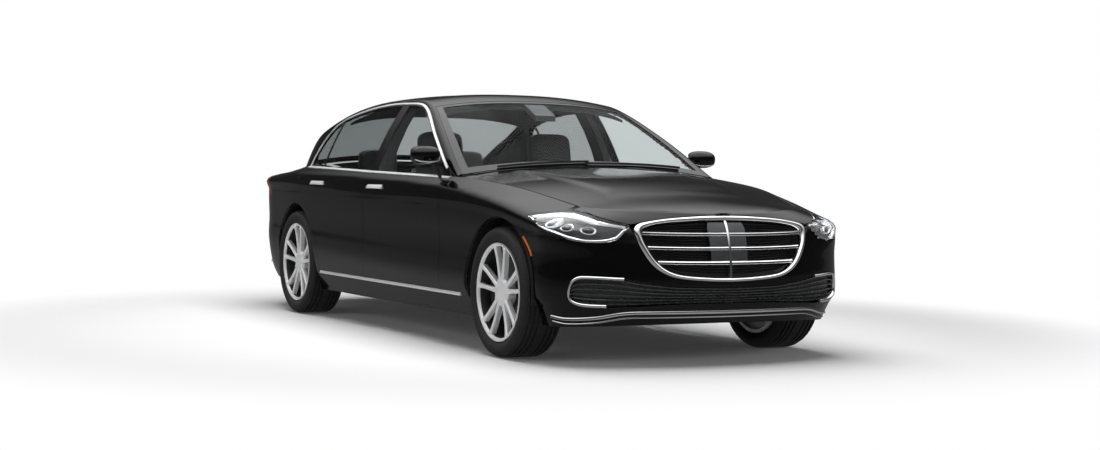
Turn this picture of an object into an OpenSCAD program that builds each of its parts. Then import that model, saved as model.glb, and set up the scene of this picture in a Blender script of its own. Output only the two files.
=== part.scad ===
// Luxury sedan: four doors, bonnet and boot on hinges, steered front wheels.
// X points forward, Y to the left, Z up. The origin is on the floor at mid-length.

/* [Overall] */
// Length from nose to tail
length = 5290; // [5150:10:5430]
// Width over the flanks
width = 1954; // [1900:2:2000]
// Height of the roof at its highest point
height = 1503; // [1470:1:1540]
// Distance between the axles as a share of the length
axle_share = 0.608; // [0.6:0.001:0.62]
// Distance from the nose to the front axle
front_overhang = 860; // [840:2:900]

/* [Wheels] */
// Distance between the front wheel centres
front_track = 1660; // [1640:2:1680]
// Distance between the rear wheel centres
rear_track = 1674; // [1650:2:1690]
// Outer diameter of a tyre
tyre_d = 712; // [700:2:720]
// Width of a tyre
tyre_w = 255; // [235:5:265]
// Outer diameter of a rim's flange
rim_d = 536; // [500:2:545]
// Number of twin spokes in a rim
twin_spokes = 5; // [5:1:7]
// Diameter of a wheel spindle
spindle_d = 60; // [50:1:66]
// Diameter of a brake disc
disc_d = 360; // [320:5:380]
// Distance from the steering pivot to the wheel's centre plane
pivot_offset = 60; // [55:1:65]
// Diameter of the steering pivot pin
pivot_d = 32; // [26:1:36]

/* [Body] */
// Height of the sill's lower edge
sill_z = 190; // [175:1:205]
// Height of the joint between sill and doors
door_z = 300; // [290:1:315]
// Height of the belt line at the middle pillar
belt_z = 1000; // [985:1:1015]
// Half width at the belt line at the middle pillar
belt_y = 900; // [885:1:912]
// Radius of the wheel arches
arch_r = 400; // [395:1:408]
// Depth of the front doors from the middle pillar to the hinge edge
front_door_l = 1177; // [1140:1:1210]
// Gap round doors, bonnet and boot lid
shut_gap = 7; // [7:0.5:9]
// Gap between panels that are fixed to each other
seam = 0.8; // [0.6:0.1:0.9]
// Thickness of the door skins, wings and bumper covers
skin_t = 6; // [5:0.5:7]
// Thickness of a whole door below the belt
door_t = 95; // [85:1:105]
// Thickness of the glass
glass_t = 5; // [4:0.5:6]

/* [Hidden] */
$fn = 48;
clear = 0.4;
fit = 0.05;
x_nose = length / 2;
x_tail = -length / 2;
wheelbase = axle_share * length;
x_fa = x_nose - front_overhang;
x_ra = x_fa - wheelbase;
x_door = x_fa - 748;
x_mid = x_door - front_door_l;
x_back = x_ra + 46;
half_w = width / 2;
wheel_r = tyre_d / 2;
arch_z = wheel_r + 12;
x_corner = x_fa + arch_r + 25;
x_haunch = x_ra - arch_r - 100;
corner_span = 1000;
s_nose = x_corner + corner_span;
s_tail = x_haunch - corner_span;
nose_power = 2.2;
tail_power = 2.4;
lean = 0.36;
lean_growth = 0.0004;
roof_power = 2.4;
frame_share = 0.0517;
pillar_in = 0.975;
pillar_t = 20;
cowl_x = x_door + 48;
screen_top_x = x_door - 747;
rear_top_x = x_ra + 356;
deck_x = x_haunch + 16;
bonnet_x = cowl_x + 65;
steer_y = front_track / 2 - pivot_offset;

// Smooth curve through knots: the first column is the position, column c the value.
function seg(k, x, i = 0) = i >= len(k) - 2 || x <= k[i + 1][0] ? i : seg(k, x, i + 1);
function slope(k, i, c) =
    let (a = max(i - 1, 0), b = min(i + 1, len(k) - 1)) (k[b][c] - k[a][c]) / (k[b][0] - k[a][0]);
function curve(k, x, c = 1) =
    let (i = seg(k, x), h = k[i + 1][0] - k[i][0], t = min(max((x - k[i][0]) / h, 0), 1))
    k[i][c] * (1 + 2 * t) * (1 - t) * (1 - t) + slope(k, i, c) * h * t * (1 - t) * (1 - t)
    + k[i + 1][c] * t * t * (3 - 2 * t) + slope(k, i + 1, c) * h * t * t * (t - 1);

// Seven rails run along each side, from the sill's lower edge up to the belt and bonnet edge.
rail_z = [
    [[x_haunch, sill_z], [x_corner, sill_z]],
    [[x_haunch, door_z], [x_corner, door_z]],
    [[x_haunch, 500], [x_back, 478], [x_door, 385], [x_corner, 360]],
    [[x_haunch, 650], [x_corner, 590]],
    [[x_haunch, 850], [x_mid, 830], [x_door, 800], [x_fa, 750], [x_corner, 685]],
    [[x_haunch, 950], [x_back, 968], [x_mid, belt_z - 50], [x_door, 918], [x_fa, 850], [x_corner, 765]],
    [[x_haunch, 1006], [x_ra - 250, 1018], [x_back, belt_z + 24], [x_mid, belt_z], [x_door, 975],
     [x_fa - 385, 956], [x_fa, 915], [x_corner, 836]]
];
rail_inset = [85, 38, 5, 8, 0, 16];
flank_drop = [[x_haunch, 30], [x_ra, 6], [x_mid - 500, 0], [x_mid + 440, 5], [x_door, 11], [x_fa, 19],
              [x_corner, 50]];
top_rail_y = [[x_haunch, 690], [x_ra - 250, 795], [x_back, 868], [x_mid, belt_y], [x_door, 872],
              [x_fa - 385, 842], [x_fa, 790], [x_corner, 700]];
// Height and setback of each rail at the middle of the nose and of the tail
nose_rail = [[225, 85], [300, 25], [380, 0], [560, 5], [660, 23], [745, 55], [808, 100]];
tail_rail = [[262, 105], [335, 45], [520, 5], [660, 0], [820, 30], [935, 55], [1002, 95]];

function side_z(k, x) = curve(rail_z[k], x);
function side_y(k, x) =
    k == 6 ? curve(top_rail_y, x) : half_w - curve(flank_drop, x) - rail_inset[k];
// Angle round the corner: 90 at the flank, 0 at the car's middle
function turn(s) =
    s > x_corner ? 90 * (s_nose - s) / corner_span : s < x_haunch ? 90 * (s - s_tail) / corner_span : 90;
function end_rail(k, start, tip, tip_z, power, f, step) =
    let (c = pow(cos(f), 2 / power), x = start + (tip - start) * c,
         zs = side_z(k, start), dz = (zs - side_z(k, start - step)) / abs(step),
         ys = side_y(k, start), dy = (ys - side_y(k, start - step)) / abs(step), d = abs(x - start))
    [zs + dz * d * (1 - c) * (1 - c) + (tip_z - zs) * c * c, x, (ys + dy * d) * pow(sin(f), 2 / power)];
function rail(k, s) =
    s > x_corner ? end_rail(k, x_corner, x_nose - nose_rail[k][1], nose_rail[k][0], nose_power, turn(s), 40)
    : s < x_haunch ? end_rail(k, x_haunch, x_tail + tail_rail[k][1], tail_rail[k][0], tail_power, turn(s), -40)
    : [side_z(k, s), s, side_y(k, s)];
function section(s) = [for (k = [0:6]) rail(k, s)];

// Side windows lean in above the belt, up to the roof edge.
cabin_h = height - belt_z;
function up(share) = belt_z + share * cabin_h;
roof_edge = [[deck_x, up(0.04)], [x_ra - 170, up(0.378)], [x_ra + 219, up(0.666)], [x_ra + 531, up(0.805)],
             [x_mid - 405, up(0.885)], [x_mid - 10, up(0.905)], [x_mid + 340, up(0.851)],
             [x_door - 437, up(0.507)], [cowl_x + 5, up(-0.032)]];
roof_mid = [[deck_x, up(0.149)], [x_ra - 170, up(0.513)], [x_ra + 219, up(0.785)], [x_ra + 531, up(0.9185)],
            [x_mid - 405, up(0.986)], [x_mid - 10, up(1)], [x_mid + 340, up(0.954)],
            [x_door - 437, up(0.62)], [cowl_x + 5, up(0.0875)]];
function edge_z(x) = curve(roof_edge, x);
function window_y(x, z) =
    let (d = z - side_z(6, x)) side_y(6, x) - lean * d - lean_growth * d * d;
function edge_y(x) = window_y(x, edge_z(x));
function upper_z(x, y) =
    let (c = curve(roof_mid, x)) c - (c - edge_z(x)) * pow(abs(y) / edge_y(x), roof_power);
// A point of the outer skin at station s and height z, moved in by t towards the car's middle
function skin(s, z, t = 0) =
    let (sec = section(s), f = turn(s), top = sec[6][0],
         p = z <= top ? [curve(sec, z, 1), curve(sec, z, 2), z] : [s, window_y(s, z), z])
    p - t * [sign(s) * cos(f), sin(f), 0];

// Bonnet and boot deck lie inside the top rail.
bonnet_mid = [[cowl_x, 1052], [x_fa - 385, 1018], [x_fa, 968], [x_corner - 60, 900], [x_nose - 245, 852],
              [x_nose - 100, 808]];
deck_mid = [[x_tail + 95, 1002], [x_tail + 300, 1040], [deck_x, 1068]];
function hood_z(x, y, ye, ze, mid) =
    let (c = max(curve(mid, x), ze)) c - (c - ze) * pow(min(abs(y) / ye, 1), 2.2);

// Closed solid between an outer and an inner grid of points. A loop closes its columns on themselves.
function flat(l) = [for (a = l) for (b = a) b];
module sheet(outer, inner, loop = false) {
    r = len(outer);
    c = len(outer[0]);
    n = r * c;
    last = loop ? c - 1 : c - 2;
    turned = cross(outer[0][1] - outer[0][0], outer[1][0] - outer[0][0]) * (outer[0][0] - inner[0][0]) < 0;
    quads = concat(
        [for (i = [0:r - 2], j = [0:last]) let (a = i * c + j, b = i * c + (j + 1) % c) [a, b, b + c, a + c]],
        [for (i = [0:r - 2], j = [0:last])
            let (a = n + i * c + j, b = n + i * c + (j + 1) % c) [a, a + c, b + c, b]],
        [for (j = [0:last]) let (b = (j + 1) % c) [j, j + n, b + n, b]],
        [for (j = [0:last]) let (a = n - c + j, b = n - c + (j + 1) % c) [a, b, b + n, a + n]],
        loop ? [] : [for (i = [0:r - 2]) [i * c, (i + 1) * c, (i + 1) * c + n, i * c + n]],
        loop ? [] : [for (i = [0:r - 2]) let (a = i * c + c - 1) [a, a + n, a + c + n, a + c]]);
    polyhedron(concat(flat(outer), flat(inner)),
        flat([for (q = quads) turned ? [[q[0], q[1], q[2]], [q[0], q[2], q[3]]]
                                     : [[q[0], q[2], q[1]], [q[0], q[3], q[2]]]]));
}
// Rows of points between two paired outlines: pairs of [first point, second point]
function lerp(a, b, t) = a + (b - a) * t;
function rows(pairs, ts) = [for (t = ts) [for (p = pairs) lerp(p[0], p[1], t)]];
function skin_grid(g, t) = [for (row = g) [for (p = row) skin(p[0], p[1], t)]];
module both() {
    children();
    mirror([0, 1, 0]) children();
}
// Mirrors a half outline of [station, height] pairs into a full one across the car's middle.
function signed(s, z, side, t) = let (p = skin(s, z, t)) [p[0], side * p[1], p[2]];
function across(half) = concat([for (p = half) [p, 1]], [for (i = [len(half) - 2:-1:0]) [half[i], -1]]);

// Outlines in stations and heights
band_w = [[rear_top_x, 0.028], [x_mid + 250, 0.028], [x_door - 500, 0.08], [cowl_x + 5, 0.0955]];
function band(x) = cabin_h * curve(band_w, x);
function frame_z(x) = edge_z(x) - band(x) - shut_gap;
function light_z(x) = frame_z(x) - frame_share * cabin_h;
function belt(x) = side_z(6, x) + 8;
// A point of a wheel arch; straight edges between points that are a step apart stay outside its radius.
function arch(x, a, step = 0) = let (r = arch_r / cos(step / 2)) [x + r * cos(a), arch_z + r * sin(a)];
back_edge = [[door_z, x_ra + 459], [arch_z, x_ra + 459], [520, x_ra + 431], [705, x_ra + 311],
             [820, x_ra + 156], [930, x_ra + 86], [belt_z + 24, x_back]];
frame_edge = [[belt_z + 24, x_back], [up(0.2386), x_ra + 79], [up(0.447), x_ra + 141], [up(0.596), x_ra + 221]];
function back_x(z) = z < belt_z + 24 ? curve(back_edge, z) : curve(frame_edge, z);
lamp_top = [[x_fa + 315, 790], [x_fa + 390, 803], [x_corner + 40, 812], [x_corner + 240, 798],
            [x_corner + 440, 771], [x_corner + 605, 744]];
lamp_low = [[x_fa + 315, 782], [x_fa + 390, 757], [x_corner + 40, 728], [x_corner + 220, 676],
            [x_corner + 390, 652], [x_corner + 530, 666], [x_corner + 605, 734]];
grille_top = [[x_corner + 625, 748], [x_corner + 650, 757], [x_corner + 750, 777], [x_corner + 890, 790],
              [s_nose, 794]];
function lip_z(s) = (s < x_corner + 605 ? lookup(s, lamp_top) : curve(grille_top, max(s, x_corner + 625)) + 1)
    + shut_gap;
// Half width and height of the bonnet's or boot lid's edge at x
function top_half(x) =
    x > x_corner ? let (c = min((x - x_corner) / (x_nose - nose_rail[6][1] - x_corner), 1),
        ys = side_y(6, x_corner), dy = (ys - side_y(6, x_corner - 40)) / 40)
        (ys + dy * (x - x_corner)) * pow(1 - pow(c, nose_power), 1 / nose_power)
    : x < x_haunch ? let (c = min((x_haunch - x) / (x_haunch - x_tail - tail_rail[6][1]), 1),
        ys = side_y(6, x_haunch), dy = (ys - side_y(6, x_haunch + 40)) / 40)
        (ys + dy * (x_haunch - x)) * pow(1 - pow(c, tail_power), 1 / tail_power)
    : side_y(6, x);
function top_rim_z(x) =
    x > x_corner ? let (c = min((x - x_corner) / (x_nose - nose_rail[6][1] - x_corner), 1),
        zs = side_z(6, x_corner), dz = (zs - side_z(6, x_corner - 40)) / 40)
        zs + dz * (x - x_corner) * (1 - c) * (1 - c) + (nose_rail[6][0] - zs) * c * c
    : x < x_haunch ? let (c = min((x_haunch - x) / (x_haunch - x_tail - tail_rail[6][1]), 1),
        zs = side_z(6, x_haunch), dz = (zs - side_z(6, x_haunch + 40)) / 40)
        zs + dz * (x_haunch - x) * (1 - c) * (1 - c) + (tail_rail[6][0] - zs) * c * c
    : side_z(6, x);
edge_in = skin_t + shut_gap;
function deck_z(x, y, mid) = hood_z(x, y, max(top_half(x), 1), top_rim_z(x), mid);

module roof() {
    xs = [for (i = [0:12]) lerp(rear_top_x, screen_top_x, i / 12)];
    top = [0.96, 0.85, 0.6, 0.3, 0, -0.3, -0.6, -0.85, -0.96];
    function col(x, t) = let (e = edge_z(x), y = edge_y(x), b = band(x), w = window_y(x, e - b) - t * 0.7) concat(
        [[x, w, e - b], [x, y - t * 0.8, e - t * 0.5]], [for (k = top) [x, y * k, upper_z(x, y * k) - t]],
        [[x, t * 0.8 - y, e - t * 0.5], [x, -w, e - b]]);
    color("black") sheet([for (x = xs) col(x, 0)], [for (x = xs) col(x, 25)]);
}
module windscreen() {
    xs = [for (i = [0:8]) lerp(screen_top_x + seam, cowl_x, i / 8)];
    ks = [-1, -0.85, -0.6, -0.3, 0, 0.3, 0.6, 0.85, 1];
    function pane(t) = [for (x = xs) let (w = edge_y(x) * pillar_in - seam)
        [for (k = ks) [x, w * k, upper_z(x, w * k) - t]]];
    color("lightblue") sheet(pane(0), pane(glass_t));
}
module rear_window() {
    side_gap = 4;
    xs = [for (i = [0:8]) lerp(rear_top_x - seam, deck_x + 8, i / 8)];
    ks = [-1, -0.85, -0.6, -0.3, 0, 0.3, 0.6, 0.85, 1];
    function pane(t) = [for (x = xs) let (w = edge_y(x) * pillar_in - side_gap)
        [for (k = ks) [x, w * k, upper_z(x, w * k) - t]]];
    color("lightblue") sheet(pane(0), pane(glass_t));
}
module a_pillars() {
    xs = [for (i = [0:10]) lerp(screen_top_x + seam, cowl_x, i / 10)];
    function low(x, k) = max(edge_z(x) - k * band(x), lerp(edge_z(x), side_z(6, x) + seam, k));
    function strip(t) = [for (x = xs) let (e = edge_z(x), y = edge_y(x) * pillar_in) [
        [x, window_y(x, low(x, 1)) - t, low(x, 1)], [x, window_y(x, low(x, 0.5)) - t, low(x, 0.5) - t * 0.1],
        [x, edge_y(x) - t * 0.8, e - t * 0.9], [x, y, upper_z(x, y) - t]]];
    color("black") both() sheet(strip(0), strip(pillar_t));
}
module c_pillars() {
    pairs = [for (p = [[[rear_top_x - seam, 0], rear_top_x - seam], [[x_ra + 250, 0], x_ra + 200],
        [[0, up(0.447)], x_ra + 20], [[0, up(0.2386)], x_ra - 120], [[0, belt_z + 26], x_ra - 240],
        [[x_ra - 140, 1], x_ra - 320], [[x_ra - 320, 1], x_ra - 410], [[deck_x + 22, 1], deck_x + 8]])
        let (a = p[0])
        [a[1] == 0 ? [a[0], edge_z(a[0]) - band(a[0])] : a[0] == 0 ? [back_x(a[1]) - 5, a[1]]
            : [a[0], side_z(6, a[0]) + seam], [p[1], edge_z(p[1])]]];
    g = rows(pairs, [0, 0.2, 0.4, 0.6, 0.8, 1]);
    function over(t) = [for (p = g[5]) let (y = edge_y(p[0]) * pillar_in) [p[0], y, upper_z(p[0], y) - t]];
    function rim(t) = [for (p = g[5]) [p[0], edge_y(p[0]) - t * 0.8, edge_z(p[0]) - t * 0.9]];
    low = [for (i = [0:4]) g[i]];
    color("black") both() sheet(concat(skin_grid(low, 0), [rim(0), over(0)]),
        concat(skin_grid(low, pillar_t), [rim(pillar_t), over(pillar_t)]));
}
module quarter_panels() {
    feet = [-9, 8, 24, 40, 53, 64, 73, 80, 86, 92, 100, 110, 121, 132, 142, 150];
    zs = [door_z + seam, arch_z, 480, 600, 705, 820, 930];
    rail_x = [x_back - 5, x_ra - 70, x_ra - 190, x_ra - 320, x_ra - 440, x_haunch - 30];
    lamp = [[x_haunch - 62, 975], [x_haunch - 46, 885], [x_haunch - 30, 796]];
    top = concat([for (z = zs) [back_x(z) - shut_gap / 2, z]], [for (x = rail_x) [x, rail(6, x)[0]]], lamp);
    pairs = [for (i = [0:len(feet) - 1]) [arch(x_ra, feet[i], 17), top[i]]];
    g = rows(pairs, [0, 0.12, 0.38, 0.66, 0.88, 1]);
    color("black") both() sheet(skin_grid(g, 0),
        [for (i = [0:len(g) - 1]) [for (p = g[i]) skin(p[0], p[1], i == 0 ? 40 : skin_t)]]);
}
module wings() {
    xd = x_door + shut_gap / 2;
    s_end = x_corner + 60;
    foot = asin((door_z - arch_z) / arch_r);
    arcs = 15;
    lamp = [for (x = [x_fa + 345, x_fa + 390, x_fa + 430, x_corner + 40, s_end]) [x, lookup(x, lamp_top) + seam]];
    base = concat([[xd, door_z], [xd + 120, door_z]], [for (i = [0:arcs]) arch(x_fa, lerp(180 - foot, 48, i / arcs), 9)],
        [[x_fa + 315 - seam, 791]], lamp);
    n = len(base) - 1;
    top = [for (i = [0:n]) let (s = lerp(xd, s_end, pow(i / n, 1.1))) [s, rail(6, s)[0] - 0.1]];
    g = rows([for (i = [0:n]) [base[i], top[i]]], [0, 0.12, 0.38, 0.66, 0.88, 1]);
    color("black") both() sheet(skin_grid(g, 0), [for (i = [0:len(g) - 1]) [for (j = [0:n])
        skin(g[i][j][0], g[i][j][1], i == 0 && j <= arcs + 2 ? 40 : skin_t)]]);
}
module bonnet() {
    n = 8;
    s0 = x_corner + 78;
    inset = edge_in;
    t = 18;
    function half(j) = abs(j) / n;
    function station(j) = lerp(s_nose, s0, pow(half(j), 1.15));
    function col(j, t) = let (s = station(j), g = sign(j), k = rail(6, s), kx = k[1], ky = k[2] - edge_in,
            f0 = half(j) == 0 ? 0 : ky / max(top_half(kx), 1), z1 = lip_z(s), side = half(j) == 1 ? inset : 0) concat(
        [for (z = [z1, lerp(z1, k[0], 0.5)]) let (p = skin(s, z, t)) [p[0], g * (p[1] - side), p[2]]],
        [let (p = skin(s, k[0] - 1, t * 0.7)) [p[0], g * (p[1] - side), p[2] - t * 0.7]],
        [for (r = [0.03, 0.1, 0.22, 0.37, 0.54, 0.7, 0.86, 1]) let (x = lerp(kx, bonnet_x, r),
            w = top_half(x) - edge_in, y = w * lerp(min(f0, 1), half(j), r))
            [x, g * y, deck_z(x, y, bonnet_mid) - t]]);
    color("black") sheet([for (j = [-n:n]) col(j, 0)], [for (j = [-n:n]) col(j, t)]);
}
// Station of the boot lid's neighbours, from the start of the tail corner
lid_side = -650;
module boot_lid() {
    n = 8;
    t = 18;
    s0 = s_tail + 330;
    lid_z = 705;
    xs = [for (r = [0, 0.2, 0.4, 0.6, 0.75, 0.88]) lerp(deck_x - 8, x_tail + tail_rail[6][1], r)];
    function col(j, t) = let (g = sign(j), s = lerp(s_tail, s0, abs(j) / n), k = rail(6, s)) concat(
        [for (x = xs) let (y = (top_half(x) - edge_in - 3) * abs(j) / n) [x, g * y, deck_z(x, y, deck_mid) - t]],
        [let (p = skin(s, k[0] - 1, t * 0.7)) [p[0], g * p[1], p[2] - t * 0.7]],
        [for (r = [0.25, 0.5, 0.75, 1]) let (p = skin(s, lerp(k[0] - 1, lid_z, r), t)) [p[0], g * p[1], p[2]]]);
    color("black") sheet([for (j = [-n:n]) col(j, 0)], [for (j = [-n:n]) col(j, t)]);
}
// Half outlines of the intake and of the bumper round it, from the lower middle to the upper middle
intake_low = [[x_corner + 258, 362], [x_corner + 275, 338], [x_corner + 340, 319], [x_corner + 450, 312],
              [x_corner + 620, 318], [x_corner + 810, 330], [s_nose, 332]];
intake_top = [[x_corner + 258, 392], [x_corner + 265, 425], [x_corner + 280, 452], [x_corner + 305, 470],
              [x_corner + 335, 480], [x_corner + 390, 484], [x_corner + 450, 484], [x_corner + 520, 477],
              [x_corner + 580, 467], [x_corner + 620, 457], [x_corner + 680, 446], [x_corner + 750, 435.5],
              [x_corner + 800, 428], [x_corner + 920, 423.2], [s_nose, 420]];
grille_out = [[x_corner + 627, 748], [x_corner + 623, 700], [x_corner + 635, 640], [x_corner + 670, 560],
              [x_corner + 720, 505], [x_corner + 790, 470], [x_corner + 920, 452], [s_nose, 448]];
module front_bumper() {
    gap = seam;
    half = concat(
        [[[s_nose, 228], [s_nose, 332]], [[x_corner + 790, 226], [x_corner + 810, 330]],
         [[x_corner + 540, 220], [x_corner + 620, 318]], [[x_corner + 290, 212], [x_corner + 450, 312]],
         [[x_corner + 120, 206], [x_corner + 340, 319]], [[x_corner + 30, 205], [x_corner + 275, 338]],
         [arch(x_fa, -20, 20), intake_low[0]], [arch(x_fa, 0, 20), intake_top[0]], [arch(x_fa, 16, 20), intake_top[1]],
         [arch(x_fa, 32, 20), intake_top[2]], [arch(x_fa, 47.6, 20), intake_top[3]],
         [[x_fa + 319, 779], intake_top[4]]],
        [for (i = [1:4]) [lamp_low[i] - [0, gap], intake_top[4 + i]]],
        [[lamp_low[5] - [0, gap], intake_top[8]], [lamp_low[6] + [gap, -gap], intake_top[9]]],
        [for (i = [2:7]) [grille_out[i] - [i == 7 ? 0 : 3 * gap, 3 * gap], intake_top[min(8 + i, 14)]]]);
    full = across(half);
    ts = [0, 0.25, 0.5, 0.75, 1];
    function ring(t) = [for (r = ts) [for (i = [0:len(full) - 2]) let (h = full[i][0],
        p = lerp(h[0], h[1], r)) signed(p[0], p[1], full[i][1], t)]];
    color("black") sheet(ring(0), ring(skin_t), true);
}

module rear_bumper() {
    lid = 697;
    half = concat([for (p = [[150, -30], [165, -110], [180, -200], [196, -300]])
            [arch(x_ra, p[0], 16) - [4.5, 0], [x_haunch + p[1] - 4.5, 796 - seam]]],
        [[[x_haunch - 40, 215], [x_haunch - 420, 796 - seam]], [[x_haunch - 300, 232], [x_haunch + lid_side, 796 - seam]],
         [[x_haunch - 560, 246], [x_haunch + lid_side - 1, lid]], [[x_haunch - 780, 256], [x_haunch - 800, lid]],
         [[s_tail, 262], [s_tail, lid]]]);
    full = across(half);
    function grid(t) = [for (r = [0, 0.15, 0.3, 0.45, 0.6, 0.75, 0.9, 1]) [for (h = full)
        let (p = lerp(h[0][0], h[0][1], r)) signed(p[0], p[1], h[1], t)]];
    color("black") sheet(grid(0), grid(skin_t));
}
module headlamps() {
    ss = concat([x_fa + 315 + seam, x_fa + 390], [for (d = [40, 130, 220, 305, 390, 460, 530]) x_corner + d],
        [x_corner + 605 - seam]);
    g = rows([for (s = ss) [[s, lookup(s, lamp_low)], [s, lookup(s, lamp_top)]]], [0, 0.5, 1]);
    color("white") both() sheet(skin_grid(g, 0), skin_grid(g, 60));
}
module tail_lamps() {
    lid_drop = 26;
    low = [for (d = [-30 - seam, -110, -200, -300, -420, -540, lid_side]) [x_haunch + d, 796]];
    top = concat([[x_haunch - 62 - seam, 975]],
        [for (d = [-120, -200, -300, -420, -540, lid_side]) [x_haunch + d, rail(6, x_haunch + d)[0] - lid_drop]]);
    g = rows([for (i = [0:6]) [low[i], top[i]]], [0, 0.25, 0.5, 0.75, 1]);
    color("darkred") both() sheet(skin_grid(g, 0),
        [for (i = [0:4]) [for (p = g[i]) skin(p[0], p[1], 45) - [0, 0, 9 * i]]]);
}
grille_in_low = [[x_corner + 655, 668], [x_corner + 663, 642], [x_corner + 695, 570], [x_corner + 740, 520],
                 [x_corner + 800, 490], [x_corner + 920, 474], [s_nose, 470]];
grille_in_top = [[x_corner + 655, 704], [x_corner + 664, 726], [x_corner + 695, 743], [x_corner + 758, 758],
                 [x_corner + 890, 769], [s_nose, 772]];
module grille_frame() {
    proud = 10;
    depth = 38;
    low_out = [for (i = [7:-1:1]) grille_out[i]];
    low_in = [for (i = [6:-1:0]) grille_in_low[i]];
    top_out = [[x_corner + 627, 742], [x_corner + 650, 757], [x_corner + 750, 777], [x_corner + 890, 790], [s_nose, 794]];
    half = concat([for (i = [0:6]) [low_out[i], low_in[i]]],
        [[top_out[0], grille_in_top[0]], [lerp(top_out[0], top_out[1], 0.6), grille_in_top[1]]],
        [for (i = [1:4]) [top_out[i], grille_in_top[i + 1]]]);
    full = across(half);
    function ring(t, r) = [for (i = [0:len(full) - 2]) let (h = full[i][0], p = lerp(h[0], h[1], r))
        signed(p[0], p[1], full[i][1], t)];
    color("silver") sheet([ring(0, 0), ring(-proud, 0.25), ring(-proud, 0.75), ring(0, 1)],
        [ring(14, 0), ring(18, 0.25), ring(depth, 0.75), ring(depth, 1)], true);
}
// Panel with raised bars: rows give [share of the height, depth behind the skin]
module bar_panel(low, top, ss, profile, back, mid_depth, mid_half) {
    gap = seam;
    full = across([for (s = ss) [s, 0]]);
    function at(s, r) = lerp(lookup(s, low) + gap, lookup(s, top) - gap, r);
    function depth(s, d) = mid_half > 0 && s >= s_nose - mid_half ? min(d, mid_depth) : d;
    sheet([for (q = profile) [for (h = full) signed(h[0][0], at(h[0][0], q[0]), h[1], depth(h[0][0], q[1]))]],
        [for (q = profile) [for (h = full) signed(h[0][0], at(h[0][0], q[0]), h[1], back)]]);
}
module grille_insert() {
    bar = 0.045;
    mid = 9;
    ss = concat([for (d = [656.5, 664, 695, 758, 830, 910, 979]) x_corner + d], [s_nose - mid - 1, s_nose - mid, s_nose]);
    deep = 32;
    high = 8;
    profile = concat([[0, deep]], [for (c = [0.27, 0.52, 0.77]) for (q = [[-1.1, deep], [-1, high], [1, high],
        [1.1, deep]]) [c + q[0] * bar / 2, q[1]]], [[1, deep]]);
    color("dimgray") bar_panel(grille_in_low, grille_in_top, ss, profile, 40, 2, mid);
}
module intake_grille() {
    ss = concat([for (d = [259, 280, 335, 450, 520, 620, 680, 800]) x_corner + d], [s_nose]);
    deep = 26;
    high = 12;
    edge = 3;
    profile = concat([[0, edge], [0.05, deep]], [for (c = [0.2, 0.4, 0.6, 0.8]) for (q = [[-0.05, deep],
        [-0.03, high], [0.03, high]]) [c + q[0], q[1]]], [[0.95, deep], [1, edge]]);
    color("black") bar_panel(intake_low, intake_top, ss, profile, 34, 0, 0);
}
liner_in_front = steer_y - 265;
liner_in_rear = rear_track / 2 - tyre_w / 2 - 15;
module arch_liner(x, inner, hole) {
    r1 = arch_r - 1.3;
    r2 = arch_r + 26;
    t = 5;
    out = half_w - 40;
    lap = half_w - 95;
    sweep = 197;
    translate([x, 0, arch_z]) rotate([90, 0, 0]) mirror([0, 0, 1]) rotate([0, 0, -8.5])
        rotate_extrude(angle = sweep, $fn = 96)
        polygon([[r1 - t, out], [r1, out], [r1, lap], [r2 + t, lap - 25], [r2 + t, inner], [hole, inner],
                 [hole, inner + t], [r2, inner + t], [r2, lap - 25 - t], [r1 - t, lap - t]]);
}
module arch_liners() {
    color("dimgray") both() {
        arch_liner(x_fa, liner_in_front, 250);
        arch_liner(x_ra, liner_in_rear, 190);
    }
}

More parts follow.
